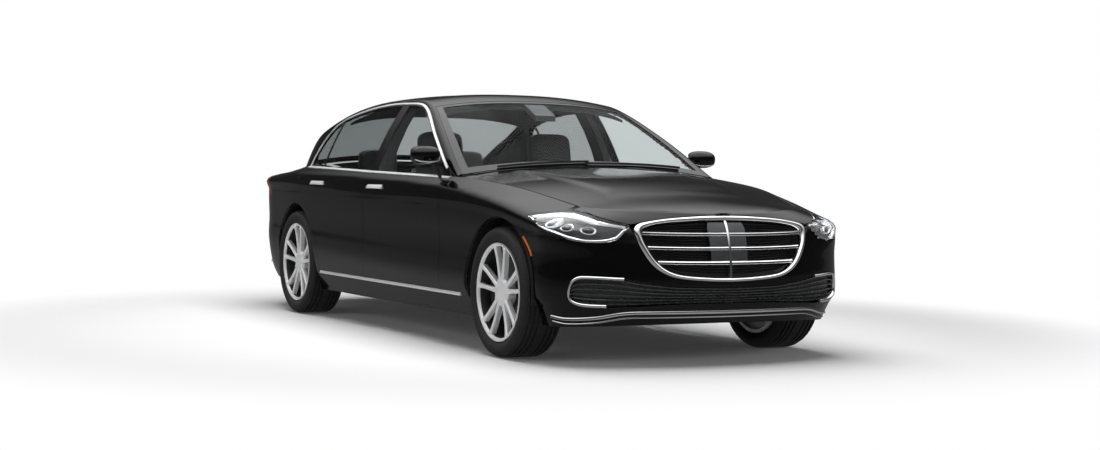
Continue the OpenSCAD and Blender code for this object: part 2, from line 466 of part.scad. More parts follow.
// Doors: hinge axes, outlines of the skins and of the window openings
hinge_set = 90;
hinge_in = 18;
post_gap = 95;
hinge_r = 5;
axis_front = [x_door - shut_gap / 2 - hinge_set, half_w - curve(flank_drop, x_door - hinge_set) - hinge_in];
axis_rear = [x_mid - shut_gap / 2 - hinge_set, half_w - curve(flank_drop, x_mid - hinge_set) - hinge_in];
hinge_heights = [560, 800];
module hinge_set_at(axis) {
    for (z = hinge_heights) translate([axis[0], axis[1], z]) {
        cylinder(h = 60, r = hinge_r, center = true);
        translate([-7, -post_gap + clear, -25]) cube([10, post_gap - clear, 50]);
    }
}
module door_hinges() {
    color("gray") both() {
        hinge_set_at(axis_front);
        hinge_set_at(axis_rear);
    }
}
top_gap = shut_gap / 2 + 0.7;
door_low = door_z + shut_gap - seam;
function door_front_pairs() = let (xf = x_door - shut_gap / 2, xr = x_mid + shut_gap / 2, xt = x_mid + top_gap,
        xw = x_mid + 52) concat(
    [[[xf, door_low + 30], [x_mid + 900, belt(x_mid + 900)]], [[xf, 480], [x_door - 190, belt(x_door - 190)]],
     [[xf, 700], [x_door - 155, belt(x_door - 155)]], [[xf, 900], [x_door - 128, belt(x_door - 128)]],
     [[x_door - 32, side_z(6, x_door - 32) + 1], [x_door - 112, belt(x_door - 112) + 4]],
     [[x_door - 105, frame_z(x_door - 105)], [x_door - 128, light_z(x_door - 128)]]],
    [for (d = [200, 320, 437, 560, 700, 850, 1000]) [[x_door - d, frame_z(x_door - d)],
        [x_door - d - 6, light_z(x_door - d - 6)]]],
    [[[xt, frame_z(xt)], [xw, light_z(xw)]], [[xt, up(0.457)], [xw, up(0.441)]],
     [[xt, up(0.12)], [xw, up(0.1)]], [[xr, belt_z - 30], [xw, belt(xw)]], [[xr, 700], [x_mid + 110, belt(x_mid + 110)]],
     [[xr, door_low + 25], [x_mid + 230, belt(x_mid + 230)]], [[xr + 25, door_low], [x_mid + 320, belt(x_mid + 320)]],
     [[x_mid + 330, door_low], [x_mid + 450, belt(x_mid + 450)]], [[x_mid + 640, door_low], [x_mid + 640, belt(x_mid + 640)]],
     [[x_mid + 920, door_low], [x_mid + 760, belt(x_mid + 760)]], [[xf - 30, door_low], [x_mid + 850, belt(x_mid + 850)]]]);
function door_rear_pairs() = let (xf = x_mid - shut_gap / 2, xt = x_mid - top_gap, xw = x_mid - 52,
        g = shut_gap / 2 + 0.8, slant = 2.2) concat(
    [[[xf, door_low + 25], [x_mid - 170, belt(x_mid - 170)]], [[xf, 700], [x_mid - 100, belt(x_mid - 100)]],
     [[xf, belt_z - 30], [xw, belt(xw)]], [[xt, up(0.12)], [xw, up(0.1)]], [[xt, up(0.457)], [xw, up(0.441)]],
     [[xt, frame_z(xt)], [xw, light_z(xw)]]],
    [for (d = [200, 360, 520, 680, 820]) [[x_mid - d, frame_z(x_mid - d)], [x_mid - d, light_z(x_mid - d)]]],
    [[[x_ra + 330, frame_z(x_ra + 330)], [x_ra + 345, light_z(x_ra + 345)]]],
    [for (p = [[0.596, x_ra + 258, 0.525], [0.447, x_ra + 186, 0.394], [0.2386, x_ra + 126, 0.207]])
        [[back_x(up(p[0])) + g, up(p[0])], [p[1], up(p[2])]]],
    [[[back_x(belt_z + 20) + g, belt_z + 20], [x_ra + 98, belt(x_ra + 98)]]],
    [for (p = [[930, 150], [820, 240], [705, 330], [600, 420], [480, 500], [arch_z, 570]])
        [[back_x(p[0]) + g + slant, p[0]], [x_ra + p[1], belt(x_ra + p[1])]]],
    [[[x_ra + 459 + g, door_low], [x_ra + 640, belt(x_ra + 640)]], [[x_ra + 640, door_low], [x_ra + 780, belt(x_ra + 780)]],
     [[x_mid - 320, door_low], [x_mid - 370, belt(x_mid - 370)]], [[xf - 25, door_low], [x_mid - 250, belt(x_mid - 250)]]]);
frame_t = 12;
skin_rows = [0, 0.07, 0.15, 0.25, 0.5, 0.76, 0.92, 1];
module door_skin(pairs) {
    g = rows(pairs, skin_rows);
    color("black") sheet(skin_grid(g, 0),
        [for (row = g) [for (p = row) skin(p[0], p[1], p[1] > side_z(6, p[0]) ? frame_t : skin_t)]], true);
}
trim_top = 140;
trim_off = skin_t + 11;
clip_gap = 0.7;
module trim_panel(pairs, clips, low, high) {
    n = 5;
    m = 4;
    function pts(t) = [for (i = [0:n]) let (z = lerp(door_low + 30, belt_z - trim_top, i / n))
        [for (k = [0:m]) skin(lerp(low(z), high(z), k / m), z, t)]];
    color("dimgray") union() {
        sheet(pts(trim_off), pts(door_t));
        for (c = clips) let (q = lerp(pairs[c][0], pairs[c][1], skin_rows[4]),
            p = skin(q[0], q[1], skin_t + clip_gap)) {
            translate(p) rotate([90, 0, 0]) cylinder(h = trim_off, r = 6, $fn = 16);
        }
    }
}
module trim_front() {
    trim_panel(door_front_pairs(), [18, 20, 22, 0],
        function(z) x_mid + shut_gap / 2 + 35, function(z) x_door - shut_gap / 2 - hinge_set - 35);
}
module trim_rear() {
    trim_panel(door_rear_pairs(), [21, 22, 23, 24],
        function(z) back_x(z) + 40, function(z) x_mid - shut_gap / 2 - hinge_set - 35);
}
module glass_pane(xs) {
    function pane(t) = [for (r = [0, 0.25, 0.5, 0.75, 1]) [for (x = xs)
        skin(x, lerp(belt(x) + seam, light_z(x) - seam, r), t)]];
    color("lightblue") sheet(pane(5), pane(5 + glass_t));
}
module glass_front() {
    glass_pane(concat([for (d = [128, 206, 326, 443, 566, 706, 856, 1006]) x_door - d], [x_mid + 52 + seam]));
}
module glass_rear() {
    quarter = [[up(0.06), x_ra + 98], [up(0.207), x_ra + 126], [up(0.394), x_ra + 186], [up(0.525), x_ra + 258]];
    xs = concat([x_mid - 52 - seam], [for (d = [200, 360, 520, 680, 820]) x_mid - d], [x_ra + 345]);
    tail = [for (q = [3, 2, 1]) quarter[q]];
    cols = concat([for (x = xs) [x, light_z(x) - seam, x]],
        [for (q = tail) [q[1] + 1, q[0] - 1, lerp(q[1], x_ra + 98, 0.3)]]);
    function pane(t) = [for (r = [0, 0.25, 0.5, 0.75, 1]) [for (c = cols)
        let (b = [c[2], belt(c[2]) + seam], p = lerp(b, [c[0], c[1]], r)) skin(p[0], p[1], t)]];
    color("lightblue") sheet(pane(5), pane(5 + glass_t));
}
module mirror_arm() {
    foot = skin(x_door - 125, 962);
    head = [x_door - 215, half_w - 17, 1098];
    color("black") {
        hull() {
            translate(head + [20, -45, 5]) sphere(r = 42, $fn = 10);
            translate(head + [5, 30, 2]) sphere(r = 36, $fn = 10);
            translate(head + [-25, -48, 0]) sphere(r = 50, $fn = 10);
            translate(head + [-25, 32, 0]) sphere(r = 44, $fn = 10);
        }
        hull() {
            translate(foot + [0, 7.3, 9.9]) sphere(r = 12, $fn = 8);
            translate(foot + [-20, 7.3, 9.9]) sphere(r = 12, $fn = 8);
            translate(head + [0, -40, -30]) sphere(r = 14, $fn = 8);
            translate(head + [-25, -40, -30]) sphere(r = 14, $fn = 8);
        }
    }
}

// Wheels: profiles are [radius, distance outward from the wheel's centre plane]
seat_r = rim_d / 2 - 10;
seat_a = tyre_w / 2 - 22;
module on_axle(x, y) {
    translate([x, y, wheel_r]) rotate([-90, 0, 0]) children();
}
module tyre() {
    h = tyre_w / 2;
    half = [[seat_r + 0.3, seat_a - 0.4], [rim_d / 2 + 2, seat_a - 0.4], [rim_d / 2 + 14, seat_a + 12],
            [rim_d / 2 + 40, h], [wheel_r - 32, h - 2], [wheel_r - 12, h - 14], [wheel_r - 3, h - 26],
            [wheel_r, h - 38], [wheel_r, 68], [wheel_r - 6, 66], [wheel_r - 6, 58], [wheel_r, 56], [wheel_r, 24],
            [wheel_r - 6, 22], [wheel_r - 6, 14], [wheel_r, 12]];
    color("black") rotate_extrude($fn = 96)
        polygon(concat(half, [for (i = [len(half) - 1:-1:0]) [half[i][0], -half[i][1]]]));
}
hub_r = 78;
hub_a = 38;
face_a = 96;
module rim() {
    barrel = seat_r - 10;
    flange = rim_d / 2;
    end = seat_a + 8;
    disc = disc_d / 2;
    bore = spindle_d / 2 + fit;
    color("silver") union() {
        rotate_extrude($fn = 96) polygon([[barrel, -end], [flange, -end], [flange, -seat_a], [seat_r, -seat_a],
            [seat_r, seat_a], [flange, seat_a], [flange, end], [barrel, end]]);
        rotate_extrude($fn = 96) polygon([[bore, hub_a], [bore, hub_a + 44], [0, hub_a + 44], [0, face_a + 4],
            [50, face_a + 4], [hub_r, face_a - 6], [hub_r, hub_a], [hub_r + 8, hub_a], [hub_r + 8, 28], [disc, 28],
            [disc, 0], [hub_r - 6, 0], [hub_r - 6, hub_a]]);
        for (i = [0:twin_spokes - 1], d = [-13, 13]) rotate([0, 0, i * 360 / twin_spokes + d + 90])
            translate([0, 0, face_a - 26]) linear_extrude(24)
            polygon([[hub_r - 20, -12], [barrel + 4, -9], [barrel + 4, 9], [hub_r - 20, 12]]);
    }
}
// Caliper straddling the disc, and the spindle that the wheel turns on
module caliper(side) {
    r = disc_d / 2;
    rotate([0, 0, side]) rotate_extrude(angle = 44, $fn = 96) polygon([[r - 50, -40], [r + 24, -40], [r + 24, 58],
        [r - 50, 58], [r - 50, 33], [r + 6, 33], [r + 6, -5], [r - 50, -5]]);
}
module spindle() {
    translate([0, 0, -pivot_offset]) cylinder(h = pivot_offset + hub_a + 40, d = spindle_d);
}
eye_z = [wheel_r - 131, wheel_r + 119];
eye_h = 40;
module knuckle() {
    color("gray") union() {
        translate([x_fa, steer_y, eye_z[0] - eye_h / 2]) cylinder(h = eye_z[1] - eye_z[0] + eye_h, d = pivot_d);
        translate([x_fa, steer_y, eye_z[0] + eye_h / 2 + 6])
            cylinder(h = eye_z[1] - eye_z[0] - eye_h - 12, d = pivot_d + 26);
        on_axle(x_fa, front_track / 2) spindle();
        on_axle(x_fa, front_track / 2) caliper(158);
        on_axle(x_fa, front_track / 2) translate([-(disc_d / 2 - 10), -30, -38]) cube([disc_d / 2 - 10, 60, 26]);
    }
}
tray_t = 12;
under_z = sill_z + tray_t;
module front_axle() {
    arm = steer_y - 395;
    color("gray") difference() {
        union() {
            translate([x_fa - 60, -396, under_z + 0.6]) cube([120, 792, 77]);
            for (m = [-1, 1]) {
                for (z = eye_z) {
                    translate([x_fa, m * steer_y, z]) cylinder(h = eye_h, r = pivot_d / 2 + 14, center = true);
                }
                translate([x_fa - 26, m > 0 ? 390 : -steer_y, eye_z[0] - eye_h / 2]) cube([52, steer_y - 390, eye_h]);
                translate([x_fa - 22, m > 0 ? 500 : -steer_y, eye_z[1] - eye_h / 2]) cube([44, steer_y - 500, eye_h]);
                translate([x_fa - 22, m > 0 ? 500 : -540, eye_z[0] - eye_h / 2])
                    cube([44, 40, eye_z[1] - eye_z[0] + eye_h]);
            }
        }
        for (m = [-1, 1]) {
            translate([x_fa, m * steer_y, 0]) cylinder(h = height, r = pivot_d / 2 + fit);
        }
    }
}
rear_floor_z = 470;
module rear_axle() {
    color("gray") union() {
        translate([x_ra, 0, wheel_r]) rotate([90, 0, 0]) cylinder(h = 300, r = 90, center = true);
        translate([x_ra - 35, -rear_track / 2 + 50, wheel_r - 35]) cube([70, rear_track - 100, 70]);
        for (m = [-1, 1]) {
            translate([x_ra - 40, m * 400 - 30, wheel_r]) cube([80, 60, rear_floor_z - wheel_r - 0.5]);
        }
        both() on_axle(x_ra, rear_track / 2) spindle();
        both() on_axle(x_ra, rear_track / 2) caliper(-22);
        both() on_axle(x_ra, rear_track / 2) translate([0, -30, -38]) cube([disc_d / 2 - 10, 60, 26]);
    }
}
rail_top = 420;
module engine() {
    z0 = under_z + 0.6 + 77 + 0.5;
    color("gray") union() {
        translate([x_fa - 450, -300, z0]) cube([720, 600, 330]);
        translate([x_fa - 430, -240, z0 + 320]) cube([680, 480, 210]);
    }
}
floor_z = sill_z;
sill_in = half_w - 170;
toe_x = cowl_x + 5;
module floor_pan() {
    w = sill_in - 0.5;
    back = x_ra + 420;
    boot = x_tail + 150;
    boot_w = 590;
    deep = liner_in_rear - 0.5;
    tray_w = 780;
    lip = nose_rail[0][0] + 8;
    color("dimgray") union() {
        translate([back - 20, -w, floor_z]) cube([toe_x - back + 70, 2 * w, 25]);
        translate([back, -130, floor_z + 20]) cube([toe_x - back + 20, 260, 140]);
        translate([toe_x, -w, floor_z]) cube([50, 2 * w, rail_top - floor_z]);
        for (m = [-1, 1]) {
            translate([toe_x + 40, m * 445 - 45, 300]) cube([x_nose - 240 - toe_x - 40, 90, rail_top - 300]);
        }
        translate([x_nose - 250, -620, 350]) cube([45, 1240, 80]);
        translate([0, tray_w / 2, 0]) rotate([90, 0, 0]) linear_extrude(tray_w)
            polygon([[toe_x + 40, floor_z], [x_fa + 320, floor_z], [x_nose - 130, lip], [x_nose - 130, lip + tray_t],
                     [x_fa + 320, under_z], [toe_x + 40, under_z]]);
        translate([back - 20, -deep, floor_z]) cube([25, 2 * deep, rear_floor_z + 25 - floor_z]);
        translate([0, 0, rear_floor_z]) linear_extrude(25)
            polygon([[back, deep], [back, -deep], [x_haunch - 300, -deep], [boot, -boot_w], [boot, boot_w],
                     [x_haunch - 300, deep]]);
        for (x = [x_fa - 600, x_ra + 640], m = [-1, 1]) {
            translate([x - 60, m * (w - 70) - 40, floor_z - 15]) cube([120, 80, 20]);
        }
    }
}
module sills() {
    function ends(z) = let (d = sqrt(arch_r * arch_r - (arch_z - z) * (arch_z - z)) + 2) [x_ra + d, x_fa - d];
    zs = [for (i = [0:4]) lerp(sill_z, door_z - seam, i / 4)];
    function pts(flat) = [for (z = zs) let (e = ends(z)) [for (k = [0:12]) let (x = lerp(e[0], e[1], k / 12),
        p = skin(x, z)) flat ? [x, sill_in, z] : p]];
    color("black") both() sheet(pts(false), pts(true));
}
module posts() {
    ya = axis_front[1] - post_gap;
    post_clear = 10;
    zs = [door_z, 500, 700, belt_z - 90, up(0.04), up(0.3), up(0.557), edge_z(x_mid - 40) - 40];
    // How far in the swinging front edge of the rear door reaches at height z
    function reach(z) = let (y = skin(x_mid - top_gap, z)[1] - frame_t - axis_rear[1])
        max([for (a = [0:4:68]) hinge_set * sin(a) - y * cos(a)]);
    function pts(t) = [for (z = zs) [for (d = [-112, -42, 28])
        [x_mid + d, axis_rear[1] - max(post_gap, reach(z) + post_clear) - t, z]]];
    color("black") both() {
        translate([x_door - 112, ya - 66, door_z]) cube([toe_x - 0.5 - x_door + 112, 66, 600]);
        sheet(pts(0), pts(50));
    }
}
module bulkhead() {
    ys = [for (i = [-10:10]) i / 10 * (axis_front[1] - post_gap - 76)];
    function pts(x) = [for (r = [0, 0.5, 1]) [for (y = ys)
        [x, y, lerp(rail_top + 0.5, upper_z(cowl_x, y) - glass_t - 1, r)]]];
    color("dimgray") sheet(pts(bonnet_x - 18), pts(toe_x));
}
module exhaust() {
    r = 32;
    color("silver") union() {
        for (m = [-1, 1]) {
            translate([x_ra - 380, m * 190, floor_z - r - 0.5]) rotate([0, 90, 0]) cylinder(h = 2100, r = r);
            translate([x_ra - 900, m * 340 - 150, 300]) cube([420, 300, rear_floor_z - 300.5]);
        }
    }
}
dash_y = axis_front[1] - post_gap - 80;
wheel_pos = [x_door - 470, 385, 880];
wheel_tilt = 24;
module along_column() {
    translate(wheel_pos) rotate([0, 90 + wheel_tilt, 0]) children();
}
module dashboard() {
    x0 = toe_x - 0.5;
    color("dimgray") difference() {
        union() {
            translate([0, dash_y, 0]) rotate([90, 0, 0]) linear_extrude(2 * dash_y)
                polygon([[x0 - 340, 620], [x0, 560], [x0, 930], [x0 - 160, 958], [x0 - 330, 920], [x0 - 385, 830]]);
            translate([x0 - 1150, -125, floor_z + 160.5]) cube([900, 250, 230]);
            translate([x0 - 330, -120, floor_z + 160.5]) cube([330, 240, 480]);
        }
        along_column() translate([0, 0, 30]) cylinder(h = 420, r = 20 + fit);
    }
}
module steering_wheel() {
    color("dimgray") along_column() union() {
        rotate_extrude($fn = 64) translate([178, 0]) circle(r = 15, $fn = 24);
        cylinder(h = 60, r = 62, center = true);
        for (a = [0, 125, 235]) rotate([0, 0, a]) translate([0, -18, -8]) cube([178, 36, 16]);
        cylinder(h = 300, r = 20);
    }
}
seat_w = 500;
module seat_shape(w, pts) {
    translate([0, w / 2, 0]) rotate([90, 0, 0]) linear_extrude(w) polygon(pts);
}
module front_seats() {
    x = x_mid + 80;
    z = floor_z + 25.5;
    color("saddlebrown") for (m = [-1, 1]) {
        translate([x, m * (135 + seat_w / 2 + 12), z]) union() {
            seat_shape(seat_w, [[0, 130], [460, 150], [500, 185], [490, 250], [440, 275], [130, 235], [60, 250],
                [-120, 780], [-170, 800], [-210, 770], [-100, 250], [-60, 150]]);
            seat_shape(280, [[-150, 770], [-120, 800], [-125, 960], [-165, 985], [-210, 965], [-200, 780]]);
            translate([20, -190, 0]) cube([380, 380, 160]);
        }
    }
}
module rear_seat() {
    x = x_ra + 420;
    z = rear_floor_z + 25.5;
    w = 2 * (liner_in_rear - 20);
    color("saddlebrown") translate([x, 0, z]) union() {
        seat_shape(w, [[-330, 0], [150, 0], [180, 40], [175, 95], [120, 115], [-180, 80], [-260, 110], [-400, 490],
            [-440, 510], [-490, 490], [-420, 60]]);
        for (m = [-1, 1]) {
            translate([0, m * w / 4, 0]) seat_shape(260, [[-430, 480], [-400, 500], [-412, 590], [-450, 610],
                [-490, 590], [-485, 480]]);
        }
    }
}

// Sides and places of the parts that come in fours or pairs
module right() {
    mirror([0, 1, 0]) children();
}
module door_front_left() {
    door_skin(door_front_pairs());
}
module trim_front_left() {
    trim_front();
}
module glass_front_left() {
    glass_front();
}
module tyre_front_left() {
    on_axle(x_fa, front_track / 2) tyre();
}
module rim_front_left() {
    on_axle(x_fa, front_track / 2) rim();
}
module door_rear_left() {
    door_skin(door_rear_pairs());
}
module trim_rear_left() {
    trim_rear();
}
module glass_rear_left() {
    glass_rear();
}
module tyre_rear_left() {
    on_axle(x_ra, rear_track / 2) tyre();
}
module rim_rear_left() {
    on_axle(x_ra, rear_track / 2) rim();
}
module mirror_left() {
    mirror_arm();
}
module knuckle_left() {
    knuckle();
}
module door_front_right() {
    right() door_skin(door_front_pairs());
}
module trim_front_right() {
    right() trim_front();
}
module glass_front_right() {
    right() glass_front();
}
module tyre_front_right() {
    right() on_axle(x_fa, front_track / 2) tyre();
}
module rim_front_right() {
    right() on_axle(x_fa, front_track / 2) rim();
}
module door_rear_right() {
    right() door_skin(door_rear_pairs());
}
module trim_rear_right() {
    right() trim_rear();
}
module glass_rear_right() {
    right() glass_rear();
}
module tyre_rear_right() {
    right() on_axle(x_ra, rear_track / 2) tyre();
}
module rim_rear_right() {
    right() on_axle(x_ra, rear_track / 2) rim();
}
module mirror_right() {
    right() mirror_arm();
}
module knuckle_right() {
    right() knuckle();
}

floor_pan();
sills();
posts();
bulkhead();
roof();
a_pillars();
c_pillars();
quarter_panels();
windscreen();
rear_window();
wings();
bonnet();
boot_lid();
front_bumper();
rear_bumper();
grille_frame();
grille_insert();
intake_grille();
headlamps();
tail_lamps();
arch_liners();
door_hinges();
door_front_left();
door_front_right();
door_rear_left();
door_rear_right();
trim_front_left();
trim_front_right();
trim_rear_left();
trim_rear_right();
glass_front_left();
glass_front_right();
glass_rear_left();
glass_rear_right();
mirror_left();
mirror_right();
tyre_front_left();
tyre_front_right();
tyre_rear_left();
tyre_rear_right();
rim_front_left();
rim_front_right();
rim_rear_left();
rim_rear_right();
knuckle_left();
knuckle_right();
front_axle();
rear_axle();
engine();
exhaust();
dashboard();
steering_wheel();
front_seats();
rear_seat();
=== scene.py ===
import math
import bmesh
import bpy
import numpy as np
from mathutils import Matrix, Vector
from mathutils.geometry import delaunay_2d_cdt


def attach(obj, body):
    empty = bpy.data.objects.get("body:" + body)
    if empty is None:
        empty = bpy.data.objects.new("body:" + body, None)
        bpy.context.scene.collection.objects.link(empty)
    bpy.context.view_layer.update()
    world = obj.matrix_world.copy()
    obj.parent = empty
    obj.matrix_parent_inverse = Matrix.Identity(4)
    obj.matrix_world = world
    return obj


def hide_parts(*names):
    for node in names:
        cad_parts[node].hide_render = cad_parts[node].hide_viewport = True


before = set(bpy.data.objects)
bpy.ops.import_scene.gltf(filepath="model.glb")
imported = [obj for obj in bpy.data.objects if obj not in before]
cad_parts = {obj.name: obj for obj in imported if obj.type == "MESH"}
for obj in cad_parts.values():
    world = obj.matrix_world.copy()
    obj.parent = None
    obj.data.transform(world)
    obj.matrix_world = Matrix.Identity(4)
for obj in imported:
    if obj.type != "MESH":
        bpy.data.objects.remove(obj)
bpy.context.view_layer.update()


# STUDIO. A pale floor that fades into a white backdrop, a wide soft light overhead and two fills.
# The camera stands low in front of the car's right corner, as in the photo.
class Tone:
    """A socket of a node tree that can be added, multiplied and compared like a number."""

    def __init__(self, tree, socket):
        self.tree, self.socket = tree, socket

    def node(self, kind, settings, sockets, out=0):
        made = self.tree.nodes.new(kind)
        for key, value in settings.items():
            setattr(made, key, value)
        for key, value in sockets.items():
            if isinstance(value, Tone):
                self.tree.links.new(value.socket, made.inputs[key])
            else:
                made.inputs[key].default_value = value
        return Tone(self.tree, made.outputs[out])

    def maths(self, operation, a, b):
        return self.node("ShaderNodeMath", {"operation": operation}, {0: a, 1: b})

    def __add__(self, other):
        return self.maths("ADD", self, other)

    def __radd__(self, other):
        return self.maths("ADD", other, self)

    def __sub__(self, other):
        return self.maths("SUBTRACT", self, other)

    def __rsub__(self, other):
        return self.maths("SUBTRACT", other, self)

    def __mul__(self, other):
        return self.maths("MULTIPLY", self, other)

    def __rmul__(self, other):
        return self.maths("MULTIPLY", other, self)

    def ramp(self, low, high):
        return self.node("ShaderNodeMapRange", {"interpolation_type": "SMOOTHSTEP"},
                         {"Value": self, "From Min": low, "From Max": high})

    def noise(self, scale, detail=3.0):
        return self.node("ShaderNodeTexNoise", {}, {"Vector": self, "Scale": scale, "Detail": detail})

    def between(self, a, b):
        return self.node("ShaderNodeMix", {"data_type": "RGBA"}, {0: self, 6: (*a, 1.0), 7: (*b, 1.0)}, 2)

    def bump(self, strength, distance):
        return self.node("ShaderNodeBump", {}, {"Height": self, "Strength": strength, "Distance": distance})


def finish(name, recipe, **fixed):
    """A principled material: constants are set on its sockets, the recipe's tones are linked."""
    made = bpy.data.materials.new(name)
    made.use_nodes = True
    tree = made.node_tree
    shader = tree.nodes["Principled BSDF"]
    place = Tone(tree, tree.nodes.new("ShaderNodeTexCoord").outputs["Object"])
    for key, value in {**fixed, **recipe(place)}.items():
        socket = shader.inputs[key.replace("_", " ")]
        if isinstance(value, Tone):
            tree.links.new(value.socket, socket)
        else:
            socket.default_value = value
    return made


def floor_finish():
    made = bpy.data.materials.new("pale_floor")
    made.use_nodes = True
    tree = made.node_tree
    tree.nodes.remove(tree.nodes["Principled BSDF"])
    place = Tone(tree, tree.nodes.new("ShaderNodeTexCoord").outputs["Object"])
    path = tree.nodes.new("ShaderNodeLightPath").outputs
    seen = Tone(tree, path["Is Camera Ray"]) + Tone(tree, path["Is Transmission Ray"])
    mirrored = Tone(tree, path["Is Glossy Ray"])
    fade_from, fade_to = 2.7, 4.3
    away = place.node("ShaderNodeVectorMath", {"operation": "LENGTH"}, {0: place}, 1).ramp(fade_from, fade_to)
    lit = place.node("ShaderNodeBsdfDiffuse", {}, {"Color": (0.9, 0.9, 0.9, 1)})
    glow = place.node("ShaderNodeEmission", {}, {"Strength": 1.0 - 0.86 * mirrored})
    share = seen * (0.03 + 0.97 * away) + 0.85 * mirrored
    mix = place.node("ShaderNodeMixShader", {}, {0: share, 1: lit, 2: glow})
    tree.links.new(mix.socket, tree.nodes["Material Output"].inputs["Surface"])
    return made


bpy.ops.mesh.primitive_plane_add(size=400)
floor = bpy.context.object
floor.name = "studio_floor"
floor.data.materials.append(floor_finish())
world = bpy.data.worlds.new("white_studio")
bpy.context.scene.world = world
world.use_nodes = True
sky = world.node_tree.nodes["Background"]
path = world.node_tree.nodes.new("ShaderNodeLightPath").outputs
seen = Tone(world.node_tree, path["Is Camera Ray"]) + Tone(world.node_tree, path["Is Transmission Ray"])
mirrored_ray = Tone(world.node_tree, path["Is Glossy Ray"])
aim = Tone(world.node_tree, world.node_tree.nodes.new("ShaderNodeTexCoord").outputs["Generated"])
overhead = aim.node("ShaderNodeSeparateXYZ", {}, {0: aim}, 2).ramp(0.26, 0.82)
ambient, horizon, zenith = 0.08, 0.05, 1.75
sheen = ambient * (1.0 - seen - mirrored_ray) + seen + mirrored_ray * (horizon + zenith * overhead)
world.node_tree.links.new(sheen.socket, sky.inputs["Strength"])
sky.inputs["Color"].default_value = (1, 1, 1, 1)
for name, place, aim, size, power in (
        ("soft_top", (0.0, -0.4, 5.0), (0, -0.2, 0), (8.0, 4.0), 400),
        ("fill_side", (1.0, -8.0, 3.2), (0, 0, 0.7), (8.0, 2.0), 90),
        ("fill_front", (8.5, 2.0, 3.0), (2, 0, 0.6), (4.0, 2.0), 90)):
    lamp = bpy.data.lights.new(name, "AREA")
    lamp.shape = "RECTANGLE"
    lamp.size, lamp.size_y = size
    lamp.energy = power
    lamp_holder = bpy.data.objects.new(name, lamp)
    bpy.context.collection.objects.link(lamp_holder)
    lamp_holder.location = place
    lamp_holder.visible_glossy = False
    lamp_holder.rotation_mode = "QUATERNION"
    lamp_holder.rotation_quaternion = (Vector(aim) - Vector(place)).to_track_quat("-Z", "Y")
focal_px, photo_width_px, sensor_mm = 1837.49, 1100, 36
camera_at = (10.73982, -5.26692, 1.03332)
yaw, pitch, roll = 2.663677, -0.0311225, 0.0137071
cam = bpy.data.cameras.new("photo_camera")
cam.lens = focal_px * sensor_mm / photo_width_px
cam.clip_end = 500
camera = bpy.data.objects.new("photo_camera", cam)
bpy.context.collection.objects.link(camera)
ahead = Vector((math.cos(yaw) * math.cos(pitch), math.sin(yaw) * math.cos(pitch), math.sin(pitch)))
right = ahead.cross(Vector((0, 0, 1))).normalized()
over = right.cross(ahead)
right, over = (right * math.cos(roll) + over * math.sin(roll),
               over * math.cos(roll) - right * math.sin(roll))
camera.matrix_world = Matrix((
    (right.x, over.x, -ahead.x, camera_at[0]), (right.y, over.y, -ahead.y, camera_at[1]),
    (right.z, over.z, -ahead.z, camera_at[2]), (0, 0, 0, 1)))
bpy.context.scene.camera = camera
bpy.context.scene.view_settings.view_transform = "Standard"


# UNDERBODY. Pressed steel floor, posts, bulkhead and axles, coated dark grey and bolted or welded
# together; the exhaust is bare steel and the arch liners are moulded plastic.
def mottled(name, scale, dark, pale, rough, grain=None, **fixed):
    """A finish between two colours; rough is (least, spread, scale), grain is a bump's (scale, strength, depth)."""
    def recipe(p):
        least, spread, rough_scale = rough
        made = {"Base_Color": p.noise(scale).between(dark, pale),
                "Roughness": least + spread * p.noise(rough_scale)}
        if grain:
            made["Normal"] = p.noise(grain[0]).bump(*grain[1:])
        return made
    return finish(name, recipe, **fixed)


coated = mottled("coated_steel", 6.0, (0.018, 0.018, 0.019), (0.04, 0.04, 0.042), (0.42, 0.2, 30.0),
                 Metallic=0.35)
raw = mottled("bare_steel", 9.0, (0.30, 0.29, 0.28), (0.46, 0.45, 0.44), (0.28, 0.25, 24.0), Metallic=0.9)
plastic = mottled("black_plastic", 40.0, (0.010, 0.010, 0.010), (0.02, 0.02, 0.02), (0.45, 0.15, 90.0),
                  (900.0, 0.25, 0.0006))


def dress(material, *nodes):
    for n in nodes:
        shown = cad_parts[n]
        shown.data.materials.clear()
        shown.data.materials.append(material)


dress(coated, "floor_pan", "posts", "bulkhead", "door_hinges", "front_axle", "rear_axle", "engine",
      "knuckle_left", "knuckle_right")
dress(raw, "exhaust")
dress(plastic, "arch_liners")


# SILLS. Painted steel box sections below the doors, welded to the floor. They are the first panels cut
# from the car's skin, so its sizes and curves are set here, in millimetres: seven rails run along each
# flank by station s and turn round nose and tail, and a point of the skin lies at a height z between them.
length, width, height = 5290.0, 1954.0, 1503.0
x_nose, x_tail = length / 2, -length / 2
x_fa = x_nose - 860
x_ra = x_fa - 0.608 * length
x_door = x_fa - 748
x_mid = x_door - 1177
x_back = x_ra + 46
half_w, wheel_r, arch_r = width / 2, 356.0, 400.0
arch_z = wheel_r + 12
x_corner, x_haunch = x_fa + arch_r + 25, x_ra - arch_r - 100
s_nose, s_tail = x_corner + 1000, x_haunch - 1000
sill_z, door_z, belt_z, belt_y = 190.0, 300.0, 1000.0, 900.0
cowl_x, screen_top_x = x_door + 48, x_door - 747
rear_top_x, deck_x = x_ra + 356, x_haunch + 16
bonnet_x = cowl_x + 65


